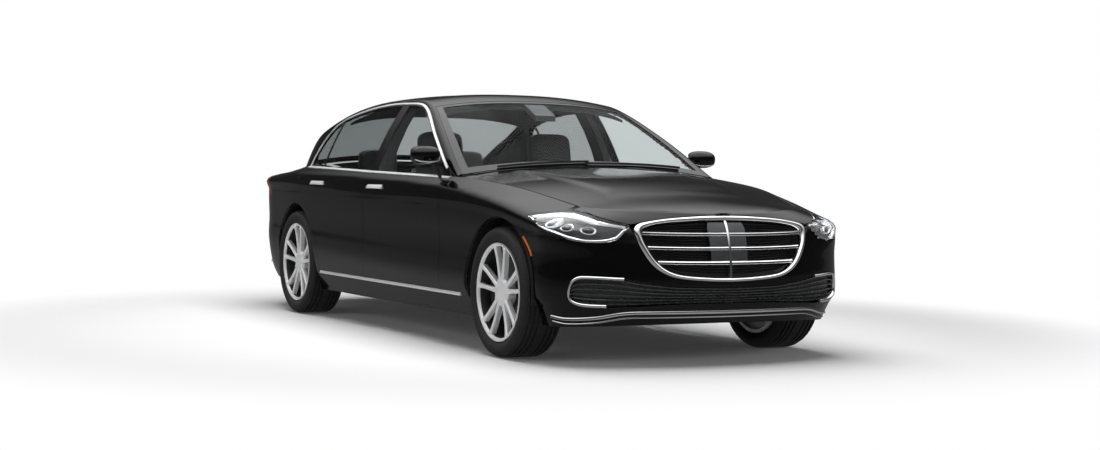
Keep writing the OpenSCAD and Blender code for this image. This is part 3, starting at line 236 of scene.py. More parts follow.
def curve(knots, x, c=1):
    k, x = np.asarray(knots, float), np.asarray(x, float)
    i = np.searchsorted(k[1:-1, 0], x, "left")
    rise = np.array([(k[min(j + 1, len(k) - 1), c] - k[max(j - 1, 0), c])
                     / (k[min(j + 1, len(k) - 1), 0] - k[max(j - 1, 0), 0]) for j in range(len(k))])
    h = k[i + 1, 0] - k[i, 0]
    t = np.clip((x - k[i, 0]) / h, 0, 1)
    return (k[i, c] * (1 + 2 * t) * (1 - t) ** 2 + rise[i] * h * t * (1 - t) ** 2
            + k[i + 1, c] * t * t * (3 - 2 * t) + rise[i + 1] * h * t * t * (t - 1))


def up(share):
    return belt_z + share * (height - belt_z)


rail_z = [
    [[x_haunch, sill_z], [x_corner, sill_z]],
    [[x_haunch, door_z], [x_corner, door_z]],
    [[x_haunch, 500], [x_back, 478], [x_door, 385], [x_corner, 360]],
    [[x_haunch, 650], [x_corner, 590]],
    [[x_haunch, 850], [x_mid, 830], [x_door, 800], [x_fa, 750], [x_corner, 685]],
    [[x_haunch, 950], [x_back, 968], [x_mid, belt_z - 50], [x_door, 918], [x_fa, 850], [x_corner, 765]],
    [[x_haunch, 1006], [x_ra - 250, 1018], [x_back, belt_z + 24], [x_mid, belt_z], [x_door, 975],
     [x_fa - 385, 956], [x_fa, 915], [x_corner, 836]]]
rail_inset = [85, 38, 5, 8, 0, 16]
flank_drop = [[x_haunch, 30], [x_ra, 6], [x_mid - 500, 0], [x_mid + 440, 5], [x_door, 11], [x_fa, 19],
              [x_corner, 50]]
top_rail_y = [[x_haunch, 690], [x_ra - 250, 795], [x_back, 868], [x_mid, belt_y], [x_door, 872],
              [x_fa - 385, 842], [x_fa, 790], [x_corner, 700]]
nose_rail = [[225, 85], [300, 25], [380, 0], [560, 5], [660, 23], [745, 55], [808, 100]]
tail_rail = [[262, 105], [335, 45], [520, 5], [660, 0], [820, 30], [935, 55], [1002, 95]]
roof_edge = [[deck_x, up(0.04)], [x_ra - 170, up(0.378)], [x_ra + 219, up(0.666)], [x_ra + 531, up(0.805)],
             [x_mid - 405, up(0.885)], [x_mid - 10, up(0.905)], [x_mid + 340, up(0.851)],
             [x_door - 437, up(0.507)], [cowl_x + 5, up(-0.032)]]
roof_mid = [[deck_x, up(0.149)], [x_ra - 170, up(0.513)], [x_ra + 219, up(0.785)], [x_ra + 531, up(0.9185)],
            [x_mid - 405, up(0.986)], [x_mid - 10, up(1)], [x_mid + 340, up(0.954)],
            [x_door - 437, up(0.62)], [cowl_x + 5, up(0.0875)]]


def side_z(k, x):
    return curve(rail_z[k], x)


def side_y(k, x):
    return curve(top_rail_y, x) if k == 6 else half_w - curve(flank_drop, x) - rail_inset[k]


def rail(k, s):
    """Height, x and y of rail k at stations s of the left half."""
    s = np.asarray(s, float)
    z, x, y = side_z(k, s), s.copy(), side_y(k, s)
    for start, end, tip, tip_z, power, step in (
            (x_corner, s_nose, x_nose - nose_rail[k][1], nose_rail[k][0], 2.2, 40.0),
            (x_haunch, s_tail, x_tail + tail_rail[k][1], tail_rail[k][0], 2.4, -40.0)):
        past = (s - start) * np.sign(step) > 0
        f = np.radians(90 * np.clip((end - s) / (end - start), 0, 1))
        c = np.cos(f) ** (2 / power)
        ex = start + (tip - start) * c
        d = np.abs(ex - start)
        zs, ys = side_z(k, start), side_y(k, start)
        dz = (zs - side_z(k, start - step)) / abs(step)
        dy = (ys - side_y(k, start - step)) / abs(step)
        z = np.where(past, zs + dz * d * (1 - c) ** 2 + (tip_z - zs) * c * c, z)
        x = np.where(past, ex, x)
        y = np.where(past, (ys + dy * d) * np.sin(f) ** (2 / power), y)
    return z, x, y


def edge_z(x):
    return curve(roof_edge, x)


def window_y(x, z):
    d = z - side_z(6, x)
    return side_y(6, x) - 0.36 * d - 0.0004 * d * d


def edge_y(x):
    return window_y(x, edge_z(x))


def upper_z(x, y):
    c = curve(roof_mid, x)
    return c - (c - edge_z(x)) * (np.abs(y) / edge_y(x)) ** 2.4


def skin(s, z):
    """Points of the skin. Stations past the middle of nose or tail lie on the right half."""
    s, z = np.broadcast_arrays(np.asarray(s, float), np.asarray(z, float))
    side = np.where((s > s_nose) | (s < s_tail), -1.0, 1.0)
    s = np.where(s > s_nose, 2 * s_nose - s, np.where(s < s_tail, 2 * s_tail - s, s))
    rails = [rail(k, s) for k in range(7)]
    rz, rx, ry = (np.array([r[i] for r in rails]) for i in range(3))
    i = np.zeros(s.shape, int)
    for k in range(1, 6):
        i += z > rz[k]
    at = lambda a, j: np.take_along_axis(a, np.clip(j, 0, 6)[None], 0)[0]
    h = at(rz, i + 1) - at(rz, i)
    t = np.clip((z - at(rz, i)) / h, 0, 1)
    flat = []
    for v in (rx, ry):
        low = (at(v, i + 1) - at(v, i - 1)) / (at(rz, i + 1) - at(rz, i - 1))
        high = (at(v, i + 2) - at(v, i)) / (at(rz, i + 2) - at(rz, i))
        flat.append(at(v, i) * (1 + 2 * t) * (1 - t) ** 2 + low * h * t * (1 - t) ** 2
                    + at(v, i + 1) * t * t * (3 - 2 * t) + high * h * t * t * (t - 1))
    above = z > rz[6]
    x = np.where(above, s, flat[0])
    y = np.where(above, window_y(s, z), flat[1])
    return np.stack([x, side * y, z], -1)


def facing(s, z):
    """Outward normals of the skin."""
    top = rail(6, np.where(s > s_nose, 2 * s_nose - s, np.where(s < s_tail, 2 * s_tail - s, s)))[0]
    hi = np.where(z <= top, np.minimum(z + 1.5, top), z + 1.5)
    lo = np.where(z <= top, z - 1.5, np.maximum(z - 1.5, top + 0.01))
    n = np.cross(skin(s, hi) - skin(s, lo), skin(s + 1.5, z) - skin(s - 1.5, z))
    return n / np.maximum(np.linalg.norm(n, axis=-1, keepdims=True), 1e-9)


def inset(s, z, t):
    return skin(s, z) - np.asarray(t, float)[..., None] * facing(s, z)


paint = finish("black_paint", lambda p: {
    "Base_Color": p.noise(2500.0, 1.0).between((0.0014, 0.0014, 0.0016), (0.003, 0.003, 0.0034)),
    "Roughness": 0.05 + 0.04 * p.noise(14.0)}, IOR=1.45)


def make(name, part, material, body, nodes=(), slot=None, sharp=None):
    """A piece from points in millimetres, faces and normals; it rides on a body, in place of nodes."""
    verts, faces, normals = part
    mesh = bpy.data.meshes.new(name)
    mesh.from_pydata([tuple(v) for v in np.asarray(verts, float) * 0.001], [], [tuple(f) for f in faces])
    work = bmesh.new()
    work.from_mesh(mesh)
    bmesh.ops.recalc_face_normals(work, faces=work.faces)
    work.to_mesh(mesh)
    work.free()
    mesh.polygons.foreach_set("use_smooth", [True] * len(mesh.polygons))
    if sharp:
        mesh.set_sharp_from_angle(angle=math.radians(sharp))
    elif normals is not None:
        mesh.normals_split_custom_set_from_vertices([tuple(n) for n in normals])
    mesh.materials.append(material)
    piece = bpy.data.objects.new(name, mesh)
    bpy.context.collection.objects.link(piece)
    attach(piece, body)
    if nodes:
        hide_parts(*nodes)
    return piece


def dense(points, step=12.0):
    """The closed outline with extra points, so that none are further apart than a step."""
    out, pts = [], np.asarray(points, float)
    for a, b in zip(pts, np.roll(pts, -1, 0)):
        n = max(1, int(math.ceil(np.linalg.norm(b - a) / step)))
        out += [a + (b - a) * i / n for i in range(n)]
    return np.array(out)


def within(p, loop):
    a, b = loop, np.roll(loop, -1, 0)
    px, pz = p[:, 0, None], p[:, 1, None]
    cross = (a[:, 1] > pz) != (b[:, 1] > pz)
    with np.errstate(divide="ignore", invalid="ignore"):
        hit = px < (b[:, 0] - a[:, 0]) * (pz - a[:, 1]) / (b[:, 1] - a[:, 1]) + a[:, 0]
    return (cross & hit).sum(1) % 2 == 1


rim_deep, arch_deep = 12.0, 38.0


def cut(outline, holes=(), step=(26.0, 18.0), t=6.0, lip=rim_deep, off=0.0):
    """A sheet cut from the skin: front and back layers, joined round the edges by a rim as deep as lip."""
    loops = [dense(outline)] + [dense(h) for h in holes]
    lo, hi = loops[0].min(0), loops[0].max(0)
    gs, gz = np.meshgrid(np.arange(lo[0] + 5, hi[0], step[0]), np.arange(lo[1] + 5, hi[1], step[1]))
    grid = np.stack([gs.ravel(), gz.ravel()], 1)
    grid = grid[within(grid, loops[0])]
    for h in loops[1:]:
        grid = grid[~within(grid, h)]
    rim = np.concatenate(loops)
    away = np.array([np.min(np.sum((rim - g) ** 2, 1)) for g in grid]) if len(grid) else np.zeros(0)
    pts = np.concatenate([rim, grid[away > 49.0]])
    edges, start = [], 0
    for loop in loops:
        n = len(loop)
        edges += [(start + i, start + (i + 1) % n) for i in range(n)]
        start += n
    made = delaunay_2d_cdt([Vector(p) for p in pts], edges, [], 0, 1e-7)
    spot = np.array([tuple(v) for v in made[0]])
    tris = np.array([f for f in made[2]])
    mid = spot[tris].mean(1)
    keep = within(mid, loops[0])
    for h in loops[1:]:
        keep &= ~within(mid, h)
    tris = tris[keep]
    n = len(spot)
    place = {}
    for new, olds in enumerate(made[3]):
        for old in olds:
            place[old] = new
    s, z = spot[:, 0], spot[:, 1]
    deep = np.full(n, off + t)
    for i in range(start):
        j = place[i]
        deep[j] = off + (lip(s[j], z[j]) if callable(lip) else lip)
    front, normal = inset(s, z, np.full(n, off)), facing(s, z)
    verts = np.concatenate([front, front - (deep - off)[:, None] * normal])
    faces = [tuple(f) for f in tris] + [(f[2] + n, f[1] + n, f[0] + n) for f in tris]
    faces += [(place[a], place[b], place[b] + n, place[a] + n) for a, b in edges]
    return verts, faces, np.concatenate([normal, np.zeros_like(normal)])


def mirrored(part):
    v, f, n = part
    flip = np.array([1.0, -1.0, 1.0])
    return v * flip, [tuple(reversed(q)) for q in f], None if n is None else n * flip


def joined(*parts):
    verts, faces, normals, start = [], [], [], 0
    for v, f, n in parts:
        verts.append(v)
        faces += [tuple(i + start for i in q) for q in f]
        normals.append(np.zeros_like(v) if n is None else n)
        start += len(v)
    return np.concatenate(verts), faces, np.concatenate(normals)


def pair(*parts):
    """Parts of the left side and their mirror images."""
    return joined(*parts, *[mirrored(p) for p in parts])


def arc(x, a, b, n=40):
    t = np.radians(np.linspace(a, b, n))
    return np.stack([x + arch_r * np.cos(t), arch_z + arch_r * np.sin(t)], 1)


def arch_lip(s, z):
    near = min(math.hypot(s - x_fa, z - arch_z), math.hypot(s - x_ra, z - arch_z))
    return arch_deep if near < arch_r + 4 else rim_deep


low = math.degrees(math.asin((door_z - arch_z) / arch_r))
bottom = math.degrees(math.asin((sill_z - arch_z) / arch_r))
sill = cut(np.concatenate([arc(x_ra, bottom, low), arc(x_fa, 180 - low, 180 - bottom)]),
           lip=lambda s, z: arch_deep if z < door_z - 3 else 30.0)
sill[0][:, 2] = np.minimum(sill[0][:, 2], door_z)
make("sill_covers", pair(sill), paint, "body", ["sills"], "paint")

# WINGS AND QUARTER PANELS. Painted steel pressings round the wheel arches, with a turned-in lip,
# bolted on in front and welded behind.
gap = 2.0
lamp_top = [[x_fa + 315, 790], [x_fa + 390, 803], [x_corner + 40, 812], [x_corner + 240, 798],
            [x_corner + 440, 771], [x_corner + 605, 744]]
lamp_low = [[x_fa + 315, 782], [x_fa + 390, 757], [x_corner + 40, 728], [x_corner + 220, 676],
            [x_corner + 390, 652], [x_corner + 530, 666], [x_corner + 605, 734]]
back_edge = [[door_z, x_ra + 459], [arch_z, x_ra + 459], [520, x_ra + 431], [705, x_ra + 311],
             [820, x_ra + 156], [930, x_ra + 86], [belt_z + 24, x_back]]
frame_edge = [[belt_z + 24, x_back], [up(0.2386), x_ra + 79], [up(0.447), x_ra + 141], [up(0.596), x_ra + 221]]


def back_x(z):
    z = np.asarray(z, float)
    return np.where(z < belt_z + 24, curve(back_edge, z), curve(frame_edge, z))


def line(x, f):
    return np.stack([x, np.broadcast_to(f(x), x.shape)], 1)


def top_rail(x):
    return rail(6, x)[0]


s_end = x_corner + 60
wing = cut(np.concatenate([
    [[x_door + gap, door_z + 1]], arc(x_fa, 180 - low, 48), [[x_fa + 315, 791]],
    line(np.linspace(x_fa + 330, s_end, 14), lambda x: curve(lamp_top, x) + 1),
    line(np.linspace(s_end, x_door + gap, 90), lambda x: top_rail(x) - 0.1)]), lip=arch_lip)
zs = np.linspace(belt_z + 22, door_z + 1, 50)
quarter = cut(np.concatenate([
    arc(x_ra, low, 150), [[x_haunch - 30, 797], [x_haunch - 62, 975]],
    line(np.linspace(x_haunch - 30, x_back - gap, 40), lambda x: top_rail(x) - 0.1),
    np.stack([back_x(zs) - gap, zs], 1)]), lip=arch_lip)
make("wing_panels", pair(wing), paint, "body", ["wings"], "paint")
make("quarter_skins", pair(quarter), paint, "body", ["quarter_panels"], "paint")

# ROOF AND PILLARS. One painted pressing: the roof, the cant rails rolled over at its edges, and the
# pillars that carry them down to the cowl and to the boot; plastic linings cover the rear pillars inside.
band_w = [[rear_top_x, 0.028], [x_mid + 250, 0.028], [x_door - 500, 0.08], [cowl_x + 5, 0.0955]]


def band(x):
    return (height - belt_z) * curve(band_w, x)


def frame_z(x):
    return edge_z(x) - band(x) - 4

glass_share, n_rear, n_roof, n_screen, n_roll = 0.975, 40, 61, 45, 9


def rolled(x):
    """Points over the cant rail, from the side band to the roof, at station x."""
    e, y = edge_z(x), edge_y(x)
    low_z = max(float(e - band(x)), float(side_z(6, x)) + 0.5) if x > screen_top_x else float(e - band(x))
    a = np.array([window_y(x, low_z), low_z])
    m = np.array([y, e])
    b = np.array([glass_share * y, upper_z(x, glass_share * y)])
    t = np.linspace(0, 1, n_roll)[:, None]
    return a * (1 - t) ** 2 + 2 * m * t * (1 - t) + b * t * t


def woven(k, m, round_rows=False, round_cols=False):
    """Faces of a net of k rows of m points, closed round in either direction."""
    return [(r * m + i, r * m + (i + 1) % m, (r + 1) % k * m + (i + 1) % m, (r + 1) % k * m + i)
            for r in range(k if round_rows else k - 1) for i in range(m if round_cols else m - 1)]


xs = np.concatenate([np.linspace(deck_x + 8, rear_top_x, n_rear, endpoint=False),
                     np.linspace(rear_top_x, screen_top_x, n_roof),
                     np.linspace(screen_top_x, cowl_x, n_screen)[1:]])
over_k = np.linspace(glass_share, -glass_share, 41)[1:-1]
grid, count = [], 2 * n_roll + len(over_k)
for x in xs:
    side = rolled(float(x))
    top = over_k * edge_y(x)
    row = [[x, p[0], p[1]] for p in side] + [[x, y, upper_z(x, y)] for y in top]
    grid.append(row + [[x, -p[0], p[1]] for p in side[::-1]])
grid = np.array(grid)
faces = [f for f in woven(len(xs), count) if n_rear <= f[0] // count < n_rear + n_roof - 1
         or f[0] % count < n_roll - 1 or f[0] % count >= count - n_roll]
used = sorted({k for f in faces for k in f})
place = {k: i for i, k in enumerate(used)}
shell = make("roof_shell", (grid.reshape(-1, 3)[used], [[place[k] for k in f] for f in faces], None), paint,
             "body", ["roof", "a_pillars"], "paint")


def thicken(piece, t, sharp=35):
    """Gives a sheet its thickness inwards, as part of the mesh."""
    mod = piece.modifiers.new("thick", "SOLIDIFY")
    mod.thickness, mod.offset = t * 0.001, -1
    solid = bpy.data.meshes.new_from_object(piece.evaluated_get(bpy.context.evaluated_depsgraph_get()))
    piece.modifiers.clear()
    piece.data = solid
    solid.polygons.foreach_set("use_smooth", [True] * len(solid.polygons))
    solid.set_sharp_from_angle(angle=math.radians(sharp))


def face_up(piece, up_axis):
    """Turns an open sheet so that its outside looks along the given direction."""
    mesh = piece.data
    total = sum((p.normal * p.area for p in mesh.polygons), Vector())
    if total.dot(Vector(up_axis)) < 0:
        mesh.flip_normals()


face_up(shell, (0, 0, 1))
thicken(shell, 16)
xs = np.linspace(x_back - gap, deck_x + 22, 50)
foot = line(xs, lambda x: side_z(6, x) + 0.3)
head = line(np.linspace(deck_x + 22, x_ra + 260, 50),
            lambda x: np.maximum(edge_z(x) - band(x), side_z(6, x) + 2))
zs = np.linspace(up(0.596), belt_z + 27, 30)
pillar_rim = np.concatenate([foot, head, np.stack([back_x(zs) - gap, zs], 1)])
pillar = cut(pillar_rim, t=12)
lining = cut(pillar_rim, t=3, lip=3.0, off=14.0)
make("pillar_linings", pair(lining), plastic, "body", sharp=45)
make("rear_pillars", pair(pillar), paint, "body", ["c_pillars"], "paint")

# WINDSCREEN AND REAR WINDOW. Laminated glass, faintly tinted, with a black printed border that hides
# the bond to the body.
glass = finish("tinted_glass", lambda p: {"Roughness": 0.008 * p.noise(3.0)},
               Base_Color=(0.74, 0.77, 0.77, 1), Transmission_Weight=1.0, IOR=1.04)
border = mottled("printed_border", 20.0, (0.006, 0.006, 0.006), (0.012, 0.012, 0.012), (0.05, 0.04, 6.0))
dark_glass = finish("dark_glass", lambda p: {"Roughness": 0.008 * p.noise(3.0)},
                    Base_Color=(0.4, 0.42, 0.42, 1), Transmission_Weight=1.0, IOR=1.04)


def pane(name, x0, x1, node, sheet_glass, rows=30, cols=33):
    """Glass that lies in the roof's curve from x0 to x1, with a printed border."""
    pts = []
    for x in np.linspace(x0, x1, rows):
        y = np.linspace(-1, 1, cols) * (edge_y(x) * glass_share - 3)
        pts.append(np.stack([np.full(cols, x), y, upper_z(x, y) - 1.5], 1))
    piece = make(name, (np.concatenate(pts), woven(rows, cols), None), sheet_glass, "body", [node], "glass")
    piece.data.materials.append(border)
    face_up(piece, (0, 0, 1))
    for i, p in enumerate(piece.data.polygons):
        r, c = divmod(i, cols - 1)
        p.material_index = int(r < 1 or r >= rows - 3 or c < 1 or c >= cols - 2)
    thicken(piece, 5)


pane("screen_front", screen_top_x + 3, cowl_x, "windscreen", glass)
pane("screen_rear", rear_top_x - 3, deck_x + 10, "rear_window", dark_glass)


# COWL AND WIPERS. A black plastic panel between bonnet and windscreen, and two rubber-edged wiper arms
# that lie along the foot of the screen.
def sheet_between(name, low_side, high_side, material, body):
    """A closed solid between two grids of points of the same size."""
    r, c = low_side.shape[:2]
    n = r * c
    rim = [*range(c), *(i * c + c - 1 for i in range(1, r)), *((r - 1) * c + j for j in range(c - 2, -1, -1)),
           *(i * c for i in range(r - 2, 0, -1))]
    faces = woven(r, c)
    faces += [tuple(i + n for i in reversed(q)) for q in faces]
    faces += [(a, b, b + n, a + n) for a, b in zip(rim, rim[1:] + rim[:1])]
    make(name, (np.concatenate([low_side.reshape(-1, 3), high_side.reshape(-1, 3)]), faces, None), material, body,
         sharp=45)


cowl = np.array([[[x, y, float(upper_z(cowl_x, y)) - 14 - 26 * r] for y in np.linspace(-800, 800, 33)]
                 for r, x in zip(np.linspace(0, 1, 5), np.linspace(cowl_x - 6, bonnet_x + 26, 5))])
sheet_between("cowl_panel", cowl - [0, 0, 8], cowl, plastic, "body")
for name, y0, y1 in (("wiper_left", -30, 640), ("wiper_right", -610, 0)):
    ys = np.linspace(y0, y1, 25)
    xs = cowl_x - 8 - 22 * ((ys - y0) / (y1 - y0)) ** 1.3
    foot = np.array([[x, y, float(upper_z(x, y)) + 3] for x, y in zip(xs, ys)])
    blade = np.stack([foot + [8, 0, 2], foot + [-8, 0, 2]])
    sheet_between(name, blade, blade + [0, 0, 13], plastic, "body")


# DOORS. Painted steel skins with a window frame above the belt, a glass pane and a plastic pad inside;
# each turns on the hinges at its front edge.
gloss = mottled("gloss_black", 12.0, (0.004, 0.004, 0.004), (0.008, 0.008, 0.008), (0.06, 0.05, 8.0))


def light_z(x):
    return frame_z(x) - 24


def rail_line(a, b, n=60):
    return line(np.linspace(a, b, n), lambda x: side_z(6, x) - 0.4)


def belt_line(a, b, up_by, n=40):
    return line(np.linspace(a, b, n), lambda x: side_z(6, x) + up_by)


zs = np.linspace(door_z + 2, belt_z + 20, 60)
front_skin = cut(np.concatenate([[[x_mid + gap, door_z + 2], [x_door - gap, door_z + 2]],
                                 rail_line(x_door - gap, x_mid + gap)]))
rear_skin = cut(np.concatenate([rail_line(x_mid - gap, x_back + gap),
                                np.stack([back_x(zs) + gap, zs], 1)[::-1], [[x_mid - gap, door_z + 2]]]))
xs = np.linspace(x_door - 118, x_mid + gap, 60)
inner = np.linspace(x_mid + 46, x_door - 178, 60)
front_frame = cut(np.concatenate([
    belt_line(x_door - 30, x_door - 40, 0.5, 2), line(xs, frame_z),
    [[x_mid + gap, float(side_z(6, x_mid)) + 0.5]], belt_line(x_mid + 46, x_mid + 46, 0.5, 1),
    line(inner, light_z), belt_line(x_door - 130, x_door - 128, 0.5, 2)]), t=12)
front_hole = np.concatenate([
    belt_line(x_mid + 40, x_door - 120, -20),
    line(np.linspace(x_door - 150, x_mid + 40, 50), lambda x: light_z(x) + 6)])
zs = np.linspace(belt_z + 22, up(0.58), 24)
tail_in = np.stack([back_x(zs) + 42, zs - 8], 1)
xs = np.linspace(x_mid - gap, x_ra + 262, 60)
inner = np.linspace(x_ra + 330, x_mid - 46, 60)
rear_frame = cut(np.concatenate([
    belt_line(x_mid - 46, x_mid - gap, 0.5, 2), line(xs, frame_z),
    np.stack([back_x(zs) + gap, zs], 1)[::-1], belt_line(x_ra + 96, x_ra + 98, 0.5, 2), tail_in[2:],
    line(inner, light_z)]), t=12)
rear_hole = np.concatenate([
    belt_line(x_ra + 90, x_mid - 40, -20),
    line(np.linspace(x_mid - 40, x_ra + 340, 50), lambda x: light_z(x) + 6), (tail_in - [8, -4])[3:][::-1]])
front_pane, rear_pane = (cut(hole, t=5, lip=5.0, off=5.0) for hole in (front_hole, rear_hole))
pad_z = 862
for side, turn in (("left", lambda p: p), ("right", mirrored)):
    for end, door_skin, door_frame, window, sheet_glass in (
            ("front", front_skin, front_frame, front_pane, glass),
            ("rear", rear_skin, rear_frame, rear_pane, dark_glass)):
        body = f"door_{end}_{side}"
        make(f"{body}_skin", turn(door_skin), paint, body, [body], "paint")
        make(f"{body}_frame", turn(door_frame), gloss, body, slot="paint")
        make(f"{body}_pane", turn(window), sheet_glass, body, [f"glass_{end}_{side}"], "glass")
        dress(plastic, f"trim_{end}_{side}")
        pads = []
        for deep, drop in ((15.0, 18), (90.0, 30)):
            rows = []
            for r in np.linspace(0, 1, 7):
                x = (np.linspace(x_mid + 40, x_door - 135, 24) if end == "front"
                     else np.linspace(float(back_x(pad_z + r * 100)) + 50, x_mid - 135, 24))
                rows.append(inset(x, pad_z + (side_z(6, x) - drop - pad_z) * r, np.full(24, deep)))
            pads.append(np.array(rows) * [1, 1 if side == "left" else -1, 1])
        sheet_between(f"{body}_pad", *pads, plastic, body)

# BONNET AND BOOT LID. Painted pressings that roll over the nose and the tail; both are hinged at the
# edge next to the cabin.
bonnet_mid = [[cowl_x, 1052], [x_fa - 385, 1018], [x_fa, 968], [x_corner - 60, 900], [x_nose - 245, 852],
              [x_nose - 100, 808]]
deck_mid = [[x_tail + 95, 1002], [x_tail + 300, 1040], [deck_x, 1068]]


def nose_line(*points):
    """Stations past the front corner, and heights; the middle of the nose is at 1000."""
    return [[x_corner + s, z] for s, z in points]


grille_top = nose_line((625, 748), (650, 757), (750, 777), (890, 790), (1000, 794))


def top_edge(x):
    """Half width and height of the uppermost rail at x, carried round nose and tail."""
    x = np.asarray(x, float)
    y, z = (f(6, np.clip(x, x_haunch, x_corner)) for f in (side_y, side_z))
    for start, tip, tip_z, power, step in ((x_corner, x_nose - 100, 808, 2.2, 40.0),
                                           (x_haunch, x_tail + 95, 1002, 2.4, -40.0)):
        past, far = (x - start) * np.sign(step) > 0, np.abs(x - start)
        c = np.clip((x - start) / (tip - start), 0, 1)
        ys, zs = side_y(6, start), side_z(6, start)
        dy, dz = ((a - f(6, start - step)) / abs(step) for a, f in ((ys, side_y), (zs, side_z)))
        y = np.where(past, (ys + dy * far) * (1 - c ** power) ** (1 / power), y)
        z = np.where(past, zs + dz * far * (1 - c) ** 2 + (tip_z - zs) * c * c, z)
    return y, z


def deck_z(x, y, mid):
    half, ze = top_edge(x)
    c = np.maximum(curve(mid, x), ze)
    return c - (c - ze) * np.minimum(np.abs(y) / np.maximum(half, 1), 1) ** 2.2


def lip_z(s):
    lamp = np.interp(s, [p[0] for p in lamp_top], [p[1] for p in lamp_top])
    return np.where(s < x_corner + 605, lamp, curve(grille_top, np.maximum(s, x_corner + 625)) + 1) + 4


def lid(name, s_mid, s_side, mid, x_far, low_z, keep, body, crease):
    """A sheet that lies on the deck and rolls down over the end of the car to low_z."""
    n, cols = 44, []
    for j in range(-n, n + 1):
        h, g = abs(j) / n, (1 if j >= 0 else -1)
        s = s_mid + (s_side - s_mid) * h ** 1.15
        kz, kx, ky = (float(v) for v in rail(6, s))
        lip = [skin(s, z) for z in np.linspace(float(low_z(s)), kz - 10, 7)]
        f0 = 0.0 if h == 0 else min((ky - keep) / max(float(top_edge(kx)[0]), 1), 1)
        deck = []
        for r in np.concatenate([[0.03, 0.05, 0.075], np.linspace(0.1, 1, 40)]):
            x = kx + (x_far - kx) * r
            y = (float(top_edge(x)[0]) - keep) * (f0 + (h - f0) * r)
            deck.append(np.array([x, y, float(deck_z(x, y, mid)) + crease(x, y)]))
        a, m, b = lip[-1], np.array([kx, ky, kz]), deck[0]
        roll = [a * (1 - t) ** 2 + 2 * m * t * (1 - t) + b * t * t for t in np.linspace(0.12, 0.88, 7)]
        cols.append([p * [1, g, 1] for p in lip + roll + deck])
    pts = np.array(cols)
    piece = make(name, (pts.reshape(-1, 3), woven(*pts.shape[:2]), None), paint, body, [body], "paint")
    face_up(piece, (0, 0, 1))
    thicken(piece, 14, 40)


def bonnet_crease(x, y):
    line_y = np.interp(x, [bonnet_x, x_fa, x_nose - 100], [560, 470, 300])
    share = np.interp(x, [bonnet_x, bonnet_x + 250, x_nose - 300, x_nose - 110], [0.3, 1, 1, 0])
    return 7 * share * (0.5 - 0.5 * math.tanh((y - line_y) / 22)) * min(1, max(0, (y - line_y + 420) / 400))


lid("bonnet_skin", s_nose, x_corner + 66, bonnet_mid, bonnet_x, lip_z, 4, "bonnet", bonnet_crease)
lid("boot_skin", s_tail, s_tail + 330, deck_mid, deck_x - 8, lambda s: 705, 6, "boot_lid", lambda x, y: 0.0)

# BUMPERS. Painted plastic covers clipped to the wings and the floor; the front one is cut out for
# the grille and the intake.
intake_low = nose_line((258, 362), (275, 338), (340, 319), (450, 312), (620, 318), (810, 330), (1000, 332))
intake_top = nose_line((258, 392), (265, 425), (280, 452), (305, 470), (335, 480), (390, 484), (450, 484),
                       (520, 477), (580, 467), (620, 457), (680, 446), (750, 435.5), (800, 428), (920, 423.2),
                       (1000, 420))
grille_out = nose_line((627, 748), (623, 700), (635, 640), (670, 560), (720, 505), (790, 470), (920, 452),
                       (1000, 448))


def across(half):
    """A half outline that ends at the middle of the nose, and its mirror image."""
    half = np.asarray(half, float)
    back = half[::-1][1:] if abs(half[-1][0] - s_nose) < 1e-6 else half[::-1]
    return np.concatenate([half, np.stack([2 * s_nose - back[:, 0], back[:, 1]], 1)])


def smooth_path(points, n):
    """A finer run of points through the given ones."""
    p = np.asarray(points, float)
    t = np.concatenate([[0], np.cumsum(np.linalg.norm(np.diff(p, axis=0), axis=1))])
    u = np.linspace(0, t[-1], n)
    return np.stack([curve(np.column_stack([t, p]), u, c) for c in (1, 2)], 1)


edge_low = nose_line((30, 205), (120, 206), (290, 212), (540, 220), (790, 226), (1000, 228))
upper = np.concatenate([arc(x_fa, -24, 47.6), [[x_fa + 317, 781]], smooth_path(lamp_low[1:], 40) - [0, 1],
                        smooth_path(grille_out[1:], 60) - [1, 1]])
outline = np.concatenate([across(upper), across(edge_low)[::-1]])
mouth = np.concatenate([across(smooth_path(intake_low, 50)), across(smooth_path(intake_top, 60))[::-1]])
make("front_cover", cut(outline, [mouth], lip=arch_lip), paint, "body", ["front_bumper"], "paint")
tail_top = [[x_haunch - 30, 795], [x_haunch - 300, 795], [x_haunch - 640, 795], [x_haunch - 655, 700],
            [s_tail, 700]]
tail_low = [[x_haunch - 40, 215], [x_haunch - 300, 232], [x_haunch - 560, 246], [x_haunch - 780, 256],
            [s_tail, 262]]
half_tail = np.concatenate([np.asarray(tail_top, float)[::-1], arc(x_ra, 150, 202), tail_low])
flip = np.stack([2 * s_tail - half_tail[:, 0], half_tail[:, 1]], 1)[::-1]
make("rear_cover", cut(np.concatenate([half_tail[:-1], flip[:-1]]), lip=arch_lip), paint, "body",
     ["rear_bumper"], "paint")

# GRILLE. A thick chromed frame pressed round the opening, three chromed bars with an upright in the
# middle, a sensor panel between them, and dark slats behind.
chrome = mottled("chrome", 5.0, (0.93, 0.93, 0.94), (0.98, 0.98, 0.98), (0.05, 0.05, 18.0), Metallic=1.0)
grille_in_low = nose_line((655, 668), (663, 642), (695, 570), (740, 520), (800, 490), (920, 474), (1000, 470))
grille_in_top = nose_line((655, 704), (664, 726), (695, 743), (758, 758), (890, 769), (1000, 772))


def ring(outer, inner, profile):
    """A closed moulding between two outlines: profile rows are [share of the way in, depth]."""
    verts = []
    for share, deep in profile:
        p = outer + (inner - outer) * share
        verts.append(inset(p[:, 0], p[:, 1], np.full(len(p), float(deep))))
    return np.concatenate(verts), woven(len(profile), len(outer), True, True), None


